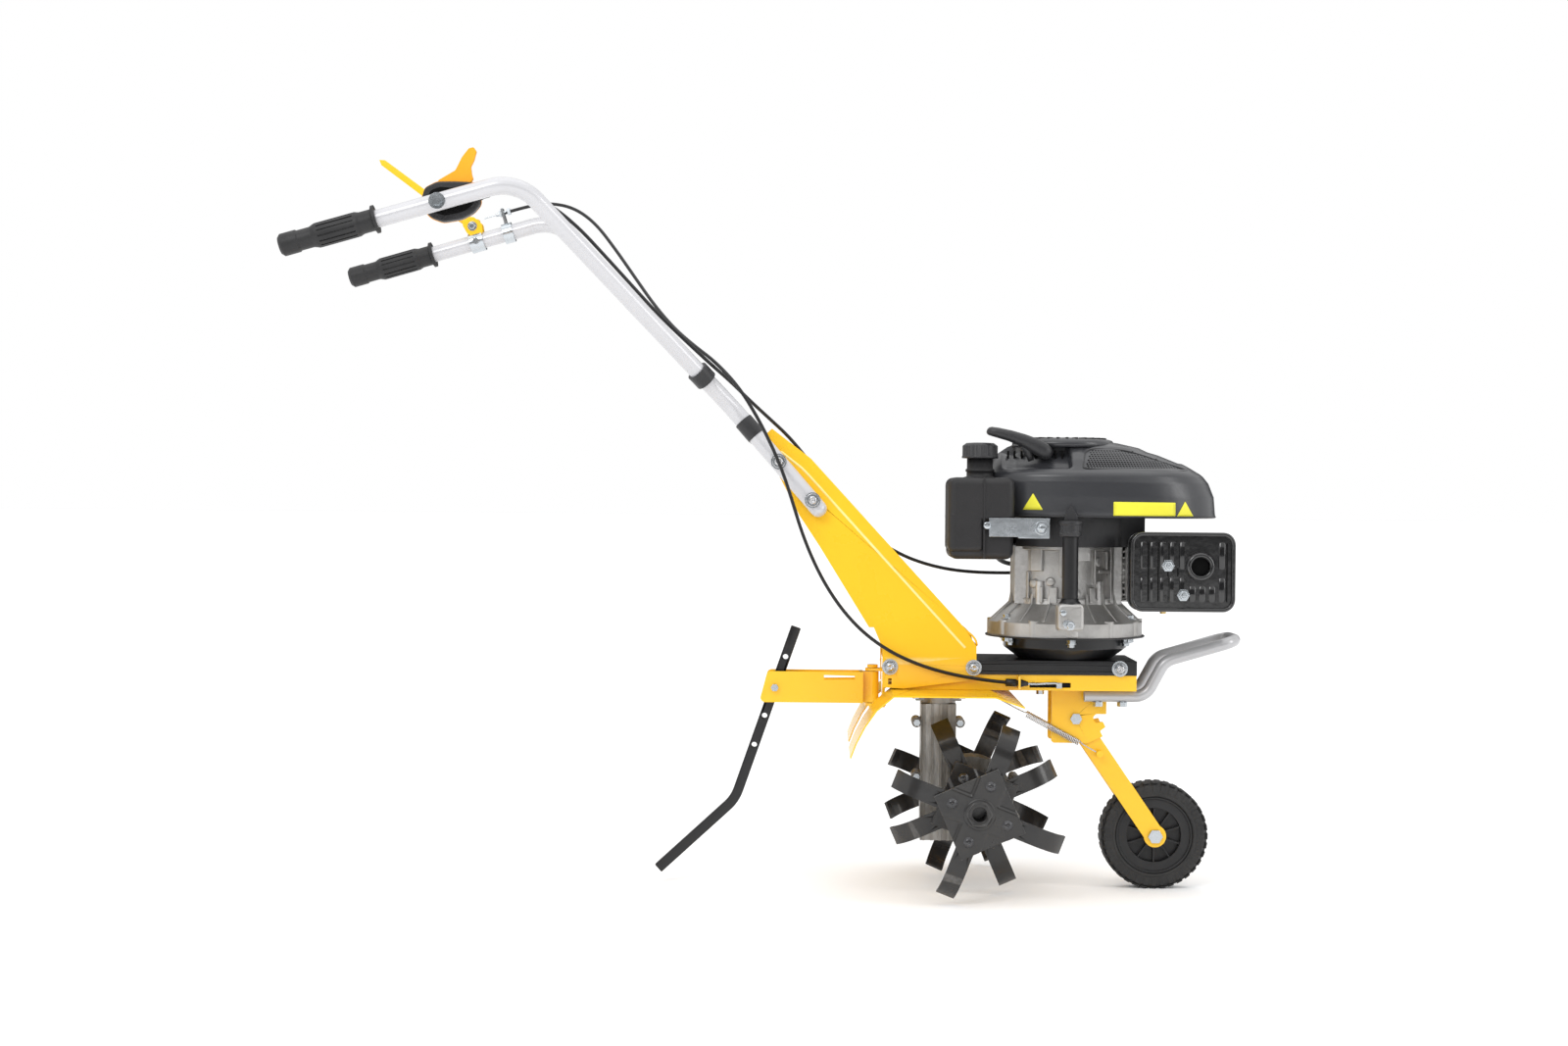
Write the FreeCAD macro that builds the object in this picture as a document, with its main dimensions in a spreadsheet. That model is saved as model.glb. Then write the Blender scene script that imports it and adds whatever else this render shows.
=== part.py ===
"""Petrol mini tiller: one parametric FreeCAD document, one solid group per sub-part.

Frame: +X forward, +Y to the operator's left, +Z up, millimetres.
The origin is on the ground, under the middle of the machine's bounding box.
"""
import FreeCAD
import Part
import Sketcher
import math
import os

V = FreeCAD.Vector
doc = FreeCAD.newDocument("tiller")
sheet = doc.addObject("Spreadsheet::Sheet", "dims")

DIMENSIONS = [
    # tine axle and worm gear column
    ("axle_x", 308), ("axle_z", 132), ("axle_radius", 10), ("axle_half", 172),
    ("worm_x", 258), ("worm_shaft_radius", 8), ("worm_radius", 12), ("worm_length", 44),
    ("wheel_gear_radius", 37), ("wheel_gear_width", 16),
    ("case_half", 26), ("case_bottom", 69), ("case_top", 271), ("case_drum_radius", 62),
    ("case_drum_half", 23), ("case_cavity_radius", 44), ("case_cavity_half", 12),
    ("neck_top", 294), ("flange_length", 82), ("flange_half", 38), ("flange_thick", 8),
    # tine rotors
    ("hub_outer", 15), ("hub_bore", 10.1), ("hub_inner_end", 52), ("hub_outer_end", 205),
    ("star_outer", 199), ("star_inner", 92), ("plate_side", 98), ("plate_thick", 3),
    ("blade_width", 27), ("blade_thick", 4), ("blade_root", 22), ("blade_straight", 84),
    ("blade_bend", 48), ("blade_tip", 6), ("rivet_circle", 42), ("rivet_radius", 5),
    # deck frame, belt tray and column
    ("deck_rear", 178), ("deck_front", 544), ("deck_top", 340), ("deck_height", 21),
    ("deck_half", 70), ("deck_wall", 2.5), ("crank_x", 445), ("deck_hole", 32),
    ("tray_rear", 203), ("tray_bottom", 296), ("tray_half", 67.4), ("tray_height", 32),
    ("tray_wall", 2.5), ("column_wall", 2.5), ("column_foot_half", 73), ("column_head_half", 36),
    ("bolt_height", 329), ("bolt_rear", 184), ("bolt_front", 306), ("bolt_deck", 519),
    ("bolt_radius", 4), ("bolt_hole", 4.5), ("washer_radius", 11.5), ("washer_thick", 2),
    ("nut_flats", 13), ("nut_height", 6.5),
    # shield, hitch and stake
    ("shield_half", 190), ("shield_thick", 2), ("hitch_pin_x", 160), ("hitch_pin_radius", 5),
    ("hitch_bottom", 271), ("hitch_height", 46), ("hitch_half", 22), ("hitch_wall", 3),
    ("stake_width", 15), ("stake_thick", 14), ("stake_angle", 19.1), ("stake_hole", 4),
    # transport wheel
    ("pivot_x", 460), ("pivot_z", 252), ("pivot_radius", 5), ("bracket_half", 30),
    ("bracket_wall", 3), ("fork_half", 26), ("fork_wall", 3.5), ("fork_width", 29),
    ("fork_length", 210), ("fork_angle", 34.5), ("wheel_radius", 79), ("tyre_half", 18),
    ("spring_radius", 4), ("rim_radius", 55), ("rim_half", 14), ("wheel_axle_radius", 5),
    ("wheel_hub_radius", 13),
    # tubes
    ("handle_radius", 12.5), ("handle_wall", 1.8), ("handle_half", 243),
    ("loop_radius", 8.75), ("loop_wall", 1.5), ("loop_half", 45),
    ("grip_radius", 17.5), ("grip_end_radius", 16), ("grip_neck", 14.5), ("grip_flange", 20),
    # engine
    ("bell_top", 373), ("bell_rim", 91), ("bell_foot", 68), ("bell_wall", 3),
    ("base_bottom", 375), ("base_rim", 114), ("base_rim_height", 20), ("base_top", 422),
    ("base_neck", 80), ("case_block_half", 78), ("block_top", 506), ("crank_radius", 12),
    ("crank_bottom", 307), ("crank_top", 618), ("blower_radius", 96),
    ("barrel_start", 525), ("barrel_length", 92), ("barrel_half", 46), ("fin_pitch", 9),
    ("muffler_x", 599), ("muffler_z", 473), ("muffler_length", 144), ("muffler_height", 108),
    ("muffler_depth", 66), ("muffler_face", 135), ("muffler_corner", 16),
    ("shroud_x", 492), ("shroud_a", 175), ("shroud_b", 122), ("shroud_bottom", 553),
    ("shroud_wall", 3), ("flywheel_radius", 86), ("flywheel_z", 562),
    ("tank_x", 265), ("tank_length", 95), ("tank_y", 122), ("tank_depth", 112),
    ("tank_z", 488), ("tank_height", 118), ("tank_corner", 12), ("tank_wall", 2.5),
    ("cap_x", 313), ("cap_y", 62), ("cap_radius", 26), ("cap_height", 23), ("neck_radius", 19),
    ("oil_x", 438), ("oil_y", 139), ("strap_y", 122), ("oil_radius", 11.5), ("oil_bottom", 424),
    ("oil_height", 98),
    # belt drive
    ("belt_z", 316), ("middle_x", 13.5), ("engine_pulley", 30), ("driven_pulley", 54),
    ("pulley_height", 16),
    ("belt_width", 10), ("belt_height", 8), ("idler_pivot_x", 430), ("idler_pivot_y", 52),
    ("idler_x", 385), ("idler_y", 6), ("idler_radius", 15),
    # cables
    ("cable_radius", 2.6), ("wire_radius", 1),
]

for row, (name, number) in enumerate(DIMENSIONS, start=1):
    sheet.set("A%d" % row, name)
    sheet.set("B%d" % row, str(number))
    sheet.setAlias("B%d" % row, name)
doc.recompute()


def text_of(value):
    """The expression text of a dimension or a plain number."""
    return value.text if isinstance(value, Dim) else "%.6g" % value


class Dim(float):
    """A size read from the sheet that also remembers its expression."""

    def __new__(cls, value, text):
        dim = float.__new__(cls, value)
        dim.text = text
        return dim

    def __add__(self, other):
        return Dim(float(self) + float(other), "(%s + %s)" % (self.text, text_of(other)))

    def __radd__(self, other):
        return Dim(float(other) + float(self), "(%s + %s)" % (text_of(other), self.text))

    def __sub__(self, other):
        return Dim(float(self) - float(other), "(%s - %s)" % (self.text, text_of(other)))

    def __rsub__(self, other):
        return Dim(float(other) - float(self), "(%s - %s)" % (text_of(other), self.text))

    def __mul__(self, other):
        return Dim(float(self) * float(other), "(%s * %s)" % (self.text, text_of(other)))

    def __rmul__(self, other):
        return Dim(float(other) * float(self), "(%s * %s)" % (text_of(other), self.text))

    def __truediv__(self, other):
        return Dim(float(self) / float(other), "(%s / %s)" % (self.text, text_of(other)))

    def __neg__(self):
        return Dim(-float(self), "(-1 * %s)" % self.text)


class Sizes:
    """Every alias of the sheet as an attribute."""


d = Sizes()
for name, number in DIMENSIONS:
    setattr(d, name, Dim(float(sheet.get(name)), "dims." + name))

nodes = {}
TURNS = {
    "X": FreeCAD.Rotation(V(0, 1, 0), 90),
    "Y": FreeCAD.Rotation(V(1, 0, 0), -90),
    "Z": FreeCAD.Rotation(),
}


# ---------------------------------------------------------------- helpers

def bind(obj, **sizes):
    """Give an object's properties their sizes, as expressions wherever the sheet has them."""
    for prop, value in sizes.items():
        if isinstance(value, Dim):
            obj.setExpression(prop, value.text)
        else:
            setattr(obj, prop, value)
    return obj


def place(obj, x, y, z, rotation=None):
    """Put an object at a point whose coordinates may be sheet dimensions."""
    obj.Placement = FreeCAD.Placement(V(float(x), float(y), float(z)),
                                      rotation or FreeCAD.Rotation())
    for axis, value in (("x", x), ("y", y), ("z", z)):
        if isinstance(value, Dim):
            obj.setExpression("Placement.Base." + axis, value.text)
    return obj


def block(x, y, z, length, width, height, rotation=None):
    box = doc.addObject("Part::Box", "Box")
    bind(box, Length=length, Width=width, Height=height)
    return place(box, x, y, z, rotation)


def rod(x, y, z, axis, radius, length):
    """A cylinder from its start point along +X, +Y or +Z."""
    cylinder = doc.addObject("Part::Cylinder", "Cylinder")
    bind(cylinder, Radius=radius, Height=length)
    return place(cylinder, x, y, z, TURNS[axis])


def cone(x, y, z, axis, radius1, radius2, length):
    obj = doc.addObject("Part::Cone", "Cone")
    bind(obj, Radius1=radius1, Radius2=radius2, Height=length)
    return place(obj, x, y, z, TURNS[axis])


def hexagon(x, y, z, axis, flats, length):
    prism = doc.addObject("Part::Prism", "Prism")
    prism.Polygon = 6
    bind(prism, Circumradius=flats / math.sqrt(3), Height=length)
    return place(prism, x, y, z, TURNS[axis])


def fuse(*shapes):
    obj = doc.addObject("Part::MultiFuse", "Fuse")
    obj.Shapes = list(shapes)
    obj.Refine = True
    return obj


def cut(base, *tools):
    obj = doc.addObject("Part::Cut", "Cut")
    obj.Base = base
    obj.Tool = tools[0] if len(tools) == 1 else fuse(*tools)
    return obj


def common(base, tool):
    obj = doc.addObject("Part::Common", "Common")
    obj.Base = base
    obj.Tool = tool
    return obj


def group(*pieces):
    """Separate solids that share one node."""
    obj = doc.addObject("Part::Compound", "Group")
    obj.Links = list(pieces)
    return obj


def fixed(shape, name="Shape"):
    """A document object for a shape made with Part's own functions."""
    obj = doc.addObject("Part::Feature", name)
    obj.Shape = shape
    return obj


def fillet(base, radius, chosen):
    """Round the edges of a Part object for which chosen(edge) is true."""
    doc.recompute()
    obj = doc.addObject("Part::Fillet", "Fillet")
    obj.Base = base
    obj.Edges = [(index, float(radius), float(radius))
                 for index, edge in enumerate(base.Shape.Edges, start=1) if chosen(edge)]
    return obj


def runs_along(axis):
    """A test for straight edges parallel to an axis."""
    direction = {"X": V(1, 0, 0), "Y": V(0, 1, 0), "Z": V(0, 0, 1)}[axis]

    def test(edge):
        if len(edge.Vertexes) < 2 or "Line" not in edge.Curve.TypeId:
            return False
        line = edge.Vertexes[1].Point - edge.Vertexes[0].Point
        return abs(line.normalize().dot(direction)) > 0.999
    return test


def node(name, obj):
    """Name a finished sub-part."""
    obj.Label = name
    nodes[name] = obj
    return obj


# ------------------------------------------------- PartDesign helpers

def new_body(name):
    return doc.addObject("PartDesign::Body", name)


def origin_plane(body, role):
    for feature in body.Origin.OriginFeatures:
        if feature.Role == role:
            return feature
    raise ValueError(role)


def constrain(sketch, geometry, point, x, y):
    """Hold a sketch point at x, y, bound to the sheet where the sizes come from it."""
    for kind, value, on_axis in (("DistanceX", x, -2), ("DistanceY", y, -1)):
        if abs(value) < 1e-9:
            sketch.addConstraint(Sketcher.Constraint("PointOnObject", geometry, point, on_axis))
            continue
        index = sketch.addConstraint(Sketcher.Constraint(kind, -1, 1, geometry, point, float(value)))
        if isinstance(value, Dim):
            sketch.setExpression("Constraints[%d]" % index, value.text)


def new_sketch(body, role, offset=0.0):
    sketch = body.newObject("Sketcher::SketchObject", "Sketch")
    sketch.AttachmentSupport = [(origin_plane(body, role), "")]
    sketch.MapMode = "FlatFace"
    if offset:
        sketch.AttachmentOffset = FreeCAD.Placement(V(0, 0, float(offset)), FreeCAD.Rotation())
        if isinstance(offset, Dim):
            sketch.setExpression("AttachmentOffset.Base.z", offset.text)
    return sketch


def draw_outline(sketch, points):
    """A closed outline of straight lines through the points."""
    first = sketch.GeometryCount
    count = len(points)
    for index, start in enumerate(points):
        end = points[(index + 1) % count]
        sketch.addGeometry(Part.LineSegment(V(float(start[0]), float(start[1]), 0),
                                            V(float(end[0]), float(end[1]), 0)))
    for index in range(count):
        following = first + (index + 1) % count
        sketch.addConstraint(Sketcher.Constraint("Coincident", first + index, 2, following, 1))
    for index, point in enumerate(points):
        constrain(sketch, first + index, 1, point[0], point[1])


def draw_circle(sketch, x, y, radius):
    index = sketch.addGeometry(Part.Circle(V(float(x), float(y), 0), V(0, 0, 1), float(radius)))
    constrain(sketch, index, 3, x, y)
    held = sketch.addConstraint(Sketcher.Constraint("Radius", index, float(radius)))
    if isinstance(radius, Dim):
        sketch.setExpression("Constraints[%d]" % held, radius.text)


def pad(body, sketch, length, midplane=False):
    feature = body.newObject("PartDesign::Pad", "Pad")
    feature.Profile = sketch
    bind(feature, Length=length)
    feature.Midplane = midplane
    body.Tip = feature
    return feature


def pocket_through(body, sketch):
    """Cut a sketch through everything on both sides of its plane."""
    doc.recompute()
    before = body.Shape.Volume
    feature = body.newObject("PartDesign::Pocket", "Pocket")
    feature.Profile = sketch
    feature.Midplane = True
    feature.Length = 2000
    body.Tip = feature
    doc.recompute()
    if body.Shape.Volume > before - 0.01:
        raise ValueError("a pocket of %s cuts nothing" % body.Label)
    return feature


def revolve(body, sketch, axis):
    feature = body.newObject("PartDesign::Revolution", "Revolution")
    feature.Profile = sketch
    feature.ReferenceAxis = (sketch, [axis])
    feature.Angle = 360
    body.Tip = feature
    return feature


def polar(body, feature, axis_sketch, axis, count):
    pattern = body.newObject("PartDesign::PolarPattern", "Pattern")
    pattern.Originals = [feature]
    pattern.Axis = (axis_sketch, [axis])
    pattern.Angle = 360
    pattern.Occurrences = count
    body.Tip = pattern
    return pattern


def round_edges(body, radius, chosen):
    doc.recompute()
    tip = body.Tip
    names = ["Edge%d" % index for index, edge in enumerate(tip.Shape.Edges, start=1) if chosen(edge)]
    feature = body.newObject("PartDesign::Fillet", "Round")
    feature.Base = (tip, names)
    bind(feature, Radius=radius)
    body.Tip = feature
    return feature


# ------------------------------------------------- bent tubes and cords

def rounded_path(points, radii):
    """Straight runs joined by tangent arcs, as one wire."""
    edges = []
    start = points[0]
    for index in range(1, len(points) - 1):
        corner = points[index]
        back = (points[index - 1] - corner).normalize()
        ahead = (points[index + 1] - corner).normalize()
        half_turn = (math.pi - back.getAngle(ahead)) / 2
        reach = radii[index - 1] * math.tan(half_turn)
        first = corner + back * reach
        last = corner + ahead * reach
        inward = (back + ahead).normalize()
        centre = corner + inward * (radii[index - 1] / math.cos(half_turn))
        middle = centre + (corner - centre).normalize() * radii[index - 1]
        edges.append(Part.LineSegment(start, first).toShape())
        edges.append(Part.Arc(first, middle, last).toShape())
        start = last
    edges.append(Part.LineSegment(start, points[-1]).toShape())
    return Part.Wire(edges)


def sweep_round(path, radius):
    """A round bar along a path."""
    first = path.Edges[0]
    direction = first.tangentAt(first.FirstParameter)
    start = first.valueAt(first.FirstParameter)
    ring = Part.Wire([Part.makeCircle(float(radius), start, direction)])
    shell = path.makePipeShell([ring], True, False)
    expected = math.pi * float(radius) ** 2 * path.Length
    if abs(shell.Volume - expected) > 0.01 * expected:
        raise ValueError("a swept bar has %.0f mm3, not %.0f" % (shell.Volume, expected))
    return shell


def tube(points, radii, outer, wall):
    path = rounded_path(points, radii)
    return sweep_round(path, outer).cut(sweep_round(path, float(outer) - float(wall)))


def cord_radii(points):
    """As large an arc at each inner point as its two runs allow."""
    radii = []
    for index in range(1, len(points) - 1):
        back = points[index - 1] - points[index]
        ahead = points[index + 1] - points[index]
        half_turn = (math.pi - back.getAngle(ahead)) / 2
        radii.append(0.45 * min(back.Length, ahead.Length) / math.tan(half_turn))
    return radii


def cord(name, route, radius):
    points = [V(*point) for point in route]
    radii = cord_radii(points)
    path = rounded_path(points, radii)
    print("%s: length %.0f mm, arc radii %s" % (name, path.Length, [round(r) for r in radii]))
    return sweep_round(path, radius)


def mirrored(obj):
    """The same piece on the other side of the machine."""
    twin = doc.addObject("Part::Mirroring", "Mirror")
    twin.Source = obj
    twin.Normal = V(0, 1, 0)
    return twin


# ---------------------------------------------------------------- fasteners

def cross_bolt(x, z, face, length):
    """A screw along Y on the right side: head and washer outside the face at y = -face."""
    head = hexagon(x, -face - d.washer_thick - d.nut_height, z, "Y", d.nut_flats, d.nut_height)
    washer = rod(x, -face - d.washer_thick, z, "Y", d.washer_radius, d.washer_thick)
    shank = rod(x, -face - d.washer_thick - 1, z, "Y", d.bolt_radius, length + d.washer_thick + 1)
    return fuse(head, washer, shank)


def upright_bolt(x, y, z, length, flats=None):
    """A screw along Z with its head under the plane z."""
    head = hexagon(x, y, z - d.nut_height, "Z", flats or d.nut_flats, d.nut_height)
    shank = rod(x, y, z - 1, "Z", d.bolt_radius, length + 1)
    return fuse(head, shank)


# ---------------------------------------------------------------- deck and tray

def deck_frame():
    """A black pressed deck: a top plate with two turned-down sides."""
    body = new_body("DeckFrame")
    section = new_sketch(body, "YZ_Plane", d.deck_rear)
    inner = d.deck_half - d.deck_wall
    draw_outline(section, [
        (-d.deck_half, d.deck_top - d.deck_height), (-inner, d.deck_top - d.deck_height),
        (-inner, d.deck_top - d.deck_wall), (inner, d.deck_top - d.deck_wall),
        (inner, d.deck_top - d.deck_height), (d.deck_half, d.deck_top - d.deck_height),
        (d.deck_half, d.deck_top), (-d.deck_half, d.deck_top)])
    pad(body, section, d.deck_front - d.deck_rear)
    holes = new_sketch(body, "XY_Plane", d.deck_top)
    draw_circle(holes, d.crank_x, 0, d.deck_hole)
    pocket_through(body, holes)
    sides = new_sketch(body, "XZ_Plane")
    for x in (d.bolt_rear, d.bolt_front, d.bolt_deck):
        draw_circle(sides, x, d.bolt_height, d.bolt_hole)
    pocket_through(body, sides)
    return node("deck_frame", body)


def belt_tray():
    """The yellow channel under the deck that guards the belt."""
    body = new_body("BeltTray")
    section = new_sketch(body, "YZ_Plane", d.tray_rear)
    inner = d.tray_half - d.tray_wall
    rim = d.tray_bottom + d.tray_height
    draw_outline(section, [
        (-d.tray_half, d.tray_bottom), (d.tray_half, d.tray_bottom), (d.tray_half, rim),
        (inner, rim), (inner, d.tray_bottom + d.tray_wall), (-inner, d.tray_bottom + d.tray_wall),
        (-inner, rim), (-d.tray_half, rim)])
    pad(body, section, d.deck_front - d.tray_rear)
    floor = new_sketch(body, "XY_Plane", d.tray_bottom)
    draw_circle(floor, d.worm_x, 0, 24)
    pocket_through(body, floor)
    slot_tool = block(388, -d.deck_half - 5, 300.5, 60, 12, 7)
    bolt_tools = [rod(x, -80, d.bolt_height, "Y", d.bolt_hole, 160)
                  for x in (d.bolt_front, d.bolt_deck)]
    floor_tools = [rod(x, y, d.tray_bottom - 5, "Z", d.bolt_radius + 0.05, 20)
                   for x, y in floor_screws()]
    return node("belt_tray", cut(body, slot_tool, *bolt_tools, *floor_tools))


def floor_screws():
    """Where upright screws pass the tray's floor."""
    loop = [(x, side * d.loop_half) for x in (490, 526) for side in (-1, 1)]
    flange = [(d.worm_x + x, y) for x in (-33, 33) for y in (-29, 29)]
    return loop + flange + [(d.idler_pivot_x, d.idler_pivot_y), (405, -52)]


def side_outline():
    """The column's side view: foot on the deck, a long arm up to the handlebar."""
    return [(173, 299), (203, 297.2), (310, 311), (310, 360), (293, 386), (66, 632), (8, 676),
            (-9, 660), (50, 548), (80, 503), (153, 386), (160, 386), (173, 356)]


HANDLE_SCREWS = [(19, 627), (69, 571)]
COLUMN_FOOT_Z = 345.0
COLUMN_HEAD_Z = 670.0


def column_half_width(z, inset=0.0):
    """Half the column's width, which narrows upwards from its foot."""
    slope = (d.column_foot_half - d.column_head_half) / (COLUMN_HEAD_Z - COLUMN_FOOT_Z)
    return d.column_foot_half - inset - slope * max(0.0, z - COLUMN_FOOT_Z)


def handle_column():
    """Pressed steel column: two side plates that close in upwards, joined by a chamfered front."""
    def hull_solid(inset):
        """The space between the two side planes, as a wedge stack."""
        sections = []
        for z in (290.0, COLUMN_FOOT_Z, 690.0):
            w = float(column_half_width(z, inset))
            corners = [V(-40, -w, z), V(330, -w, z), V(330, w, z), V(-40, w, z)]
            sections.append(Part.makePolygon(corners + corners[:1]))
        lower = Part.makeLoft(sections[:2], True, True)
        upper = Part.makeLoft(sections[1:], True, True)
        return lower.fuse(upper)

    wall = float(d.column_wall)
    points = [V(x, -200, z) for x, z in side_outline()]
    prism = Part.Face(Part.makePolygon(points + points[:1])).extrude(V(0, 400, 0))
    outer = prism.common(hull_solid(0.0))
    inner_points = [(173 - 30, 280), (310 - wall, 280), (310 - wall, 359), (291, 384.4),
                    (64.2, 630.2), (6.5, 672.5), (-60, 640), (40, 500), (120, 380)]
    inner_face = Part.Face(Part.makePolygon([V(x, -200, z) for x, z in inner_points]
                                            + [V(inner_points[0][0], -200, inner_points[0][1])]))
    cavity = inner_face.extrude(V(0, 400, 0)).common(hull_solid(wall))
    shell = outer.cut(cavity)
    # the deck passes through the foot, and the front edge opens above it
    slot = Part.makeBox(200, 2 * float(d.deck_half) + 1, 50,
                        V(float(d.deck_rear) - 1, -float(d.deck_half) - 0.5, 292))
    shell = shell.cut(slot)
    for x, z in ((float(d.bolt_rear), float(d.bolt_height)), (float(d.bolt_front), float(d.bolt_height)),
                 *HANDLE_SCREWS):
        shell = shell.cut(Part.makeCylinder(float(d.bolt_hole), 300, V(x, -150, z), V(0, 1, 0)))
    keyhole = Part.makeBox(5, 300, 9, V(181.5, -150, 303))
    shell = shell.cut(keyhole)
    return node("handle_column", fixed(shell, "Column"))


def frame_bolts():
    """All the frame's screws, as separate solids."""
    bolts = []
    for x in (d.bolt_rear, d.bolt_front):
        bolts.append(cross_bolt(x, d.bolt_height, d.column_foot_half, 9))
    bolts.append(cross_bolt(d.bolt_deck, d.bolt_height, d.deck_half, 9))
    bolts += [mirrored(bolt) for bolt in list(bolts)]
    for x, z in HANDLE_SCREWS:
        bolts.append(cross_bolt(x, z, column_half_width(z) + 2 * d.handle_radius + 1.4, 36))
        bolts.append(mirrored(bolts[-1]))
    for y in (-1, 1):
        bolts.append(upright_bolt(490, y * d.loop_half, d.tray_bottom - 2 * d.loop_radius, 22))
        bolts.append(upright_bolt(526, y * d.loop_half, d.tray_bottom - 2 * d.loop_radius, 22))
    bolts.append(upright_bolt(405, -52, d.tray_bottom, 3, 10))
    bolts.append(upright_bolt(d.idler_pivot_x, d.idler_pivot_y, d.tray_bottom, 11, 10))
    centre = on_grip_run(-1, -454)
    bolts.append(cross_bolt(centre.x, centre.z, -centre.y + d.handle_radius, 38))
    return node("frame_bolts", group(*bolts, *gearcase_screws(), pivot_bolt()))


# ---------------------------------------------------------------- shield, hitch, stake

def strip_face(points, thickness, y=0.0):
    """A sheet's edge view: a strip of even thickness whose one side runs through the points."""
    outer = []
    for index, point in enumerate(points):
        before = V(*points[max(index - 1, 0)])
        here = V(*point)
        after = V(*points[min(index + 1, len(points) - 1)])
        first = (here - before) if index else (after - here)
        second = (after - here) if index < len(points) - 1 else (here - before)
        normal = (V(-first.z, 0, first.x).normalize() + V(-second.z, 0, second.x).normalize()).normalize()
        stretch = float(thickness) / normal.dot(V(-first.z, 0, first.x).normalize())
        outer.append(here + normal * stretch)
    ring = [V(*point) for point in points] + outer[::-1]
    for point in ring:
        point.y = y
    return Part.Face(Part.makePolygon(ring + ring[:1]))


def tine_shield():
    """A sheet under the tray: flat top, long rear limb with a curled lip, short front limb."""
    top = float(d.tray_bottom) - float(d.shield_thick)
    half = float(d.shield_half)
    side = [(127, 0, top - 87), (135, 0, top - 66), (147, 0, top - 43), (163, 0, top - 20),
            (187, 0, top), (330, 0, top), (371, 0, top - 14)]
    sheet_solid = strip_face(side, d.shield_thick, -half).extrude(V(0, 2 * half, 0))
    hole = Part.makeCylinder(24, 40, V(float(d.worm_x), 0, top - 20))
    rear_notch = Part.makeBox(76, 72, 100, V(114, -36, top - 97))
    shield = sheet_solid.cut(hole).cut(rear_notch)
    for x, y in floor_screws():
        if x < 330:
            shield = shield.cut(Part.makeCylinder(float(d.bolt_radius) + 0.05, 30, V(x, y, top - 15)))
    return node("tine_shield", fixed(shield, "Shield"))


def hitch_bracket():
    """Two lugs on the column's rear edge that carry the hitch pin."""
    lug = d.hitch_pin_radius + 6
    pieces = []
    for z in (d.hitch_bottom - 5, d.hitch_bottom + d.hitch_height + 1):
        eye = rod(d.hitch_pin_x, 0, z, "Z", lug, 4)
        tongue = block(d.hitch_pin_x, -lug, z, 20, 2 * lug, 4)
        pieces += [eye, tongue]
    web = block(174, -32, d.hitch_bottom - 5, 4, 64, d.hitch_height)
    cross_plate = block(174, -66, 298, 4, 132, d.deck_top - 298)
    bore = rod(d.hitch_pin_x, 0, d.hitch_bottom - 10, "Z", d.hitch_pin_radius + 0.05, 80)
    return node("hitch_bracket", group(cut(fuse(web, cross_plate, *pieces), bore), hitch_pin()))


def hitch_pin():
    shank = rod(d.hitch_pin_x, 0, d.hitch_bottom - 9, "Z", d.hitch_pin_radius, d.hitch_height + 18)
    head = rod(d.hitch_pin_x, 0, d.hitch_bottom + d.hitch_height + 6, "Z", d.hitch_pin_radius + 3, 4)
    return fuse(shank, head)


def hitch_arm():
    """Swinging channel that holds the drag stake; its front end is the pin's barrel."""
    body = new_body("HitchArm")
    side = new_sketch(body, "XZ_Plane")
    top = d.hitch_bottom + d.hitch_height
    draw_outline(side, [(-8, d.hitch_bottom), (146, d.hitch_bottom), (146, top), (4, top)])
    pad(body, side, 2 * d.hitch_half, midplane=True)
    round_edges(body, 7, lambda e: runs_along("Y")(e) and e.CenterOfMass.x < 10)
    hollow = new_sketch(body, "XY_Plane")
    inner = d.hitch_half - d.hitch_wall
    draw_outline(hollow, [(-40, -inner), (140, -inner), (140, inner), (-40, inner)])
    pocket_through(body, hollow)
    window = new_sketch(body, "XZ_Plane")
    draw_outline(window, [(88, 305), (134, 306), (134, 311), (88, 312)])
    pocket_through(body, window)
    barrel = rod(d.hitch_pin_x, 0, d.hitch_bottom, "Z", d.hitch_pin_radius + 4.5, d.hitch_height)
    neck = block(144, -9, d.hitch_bottom, d.hitch_pin_x - 144, 18, d.hitch_height)
    bore = rod(d.hitch_pin_x, 0, d.hitch_bottom - 5, "Z", d.hitch_pin_radius + 0.05, 80)
    screw_hole = rod(15, -40, 293, "Y", 4.05, 80)
    frame = fuse(body, barrel, neck, stake_guides())
    return node("hitch_arm", cut(frame, bore, screw_hole))


def stake_turn():
    return FreeCAD.Rotation(V(0, 1, 0), d.stake_angle)


def along_stake(distance, across=0.0, y=0.0):
    """A point on the stake's line, measured from the clamp screw up the stake."""
    angle = math.radians(float(d.stake_angle))
    return V(15 + distance * math.sin(angle) + across * math.cos(angle), y,
             293 + distance * math.cos(angle) - across * math.sin(angle))


def stake_guides():
    """The two guide bars in front of and behind the stake, parallel to it."""
    turn = stake_turn()
    pieces = []
    for side in (-1, 1):
        offset = side * (float(d.stake_width) / 2 + 0.3) + (0 if side > 0 else -3)
        corner = along_stake(-16, offset)
        pieces.append(block(corner.x, -float(d.hitch_half) + 1, corner.z, 3,
                            2 * float(d.hitch_half) - 2, 32, turn))
    return fuse(*pieces)


def stake_screw():
    """Clamp screw that presses the stake from the right cheek, with its nut inside."""
    face = d.hitch_half
    head = hexagon(15, -face - d.nut_height, 293, "Y", 10, d.nut_height)
    shank = rod(15, -face - 1, 293, "Y", d.bolt_radius, d.hitch_half + 1 - d.stake_thick / 2 - 0.1)
    return node("stake_screw", fuse(head, shank))


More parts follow.
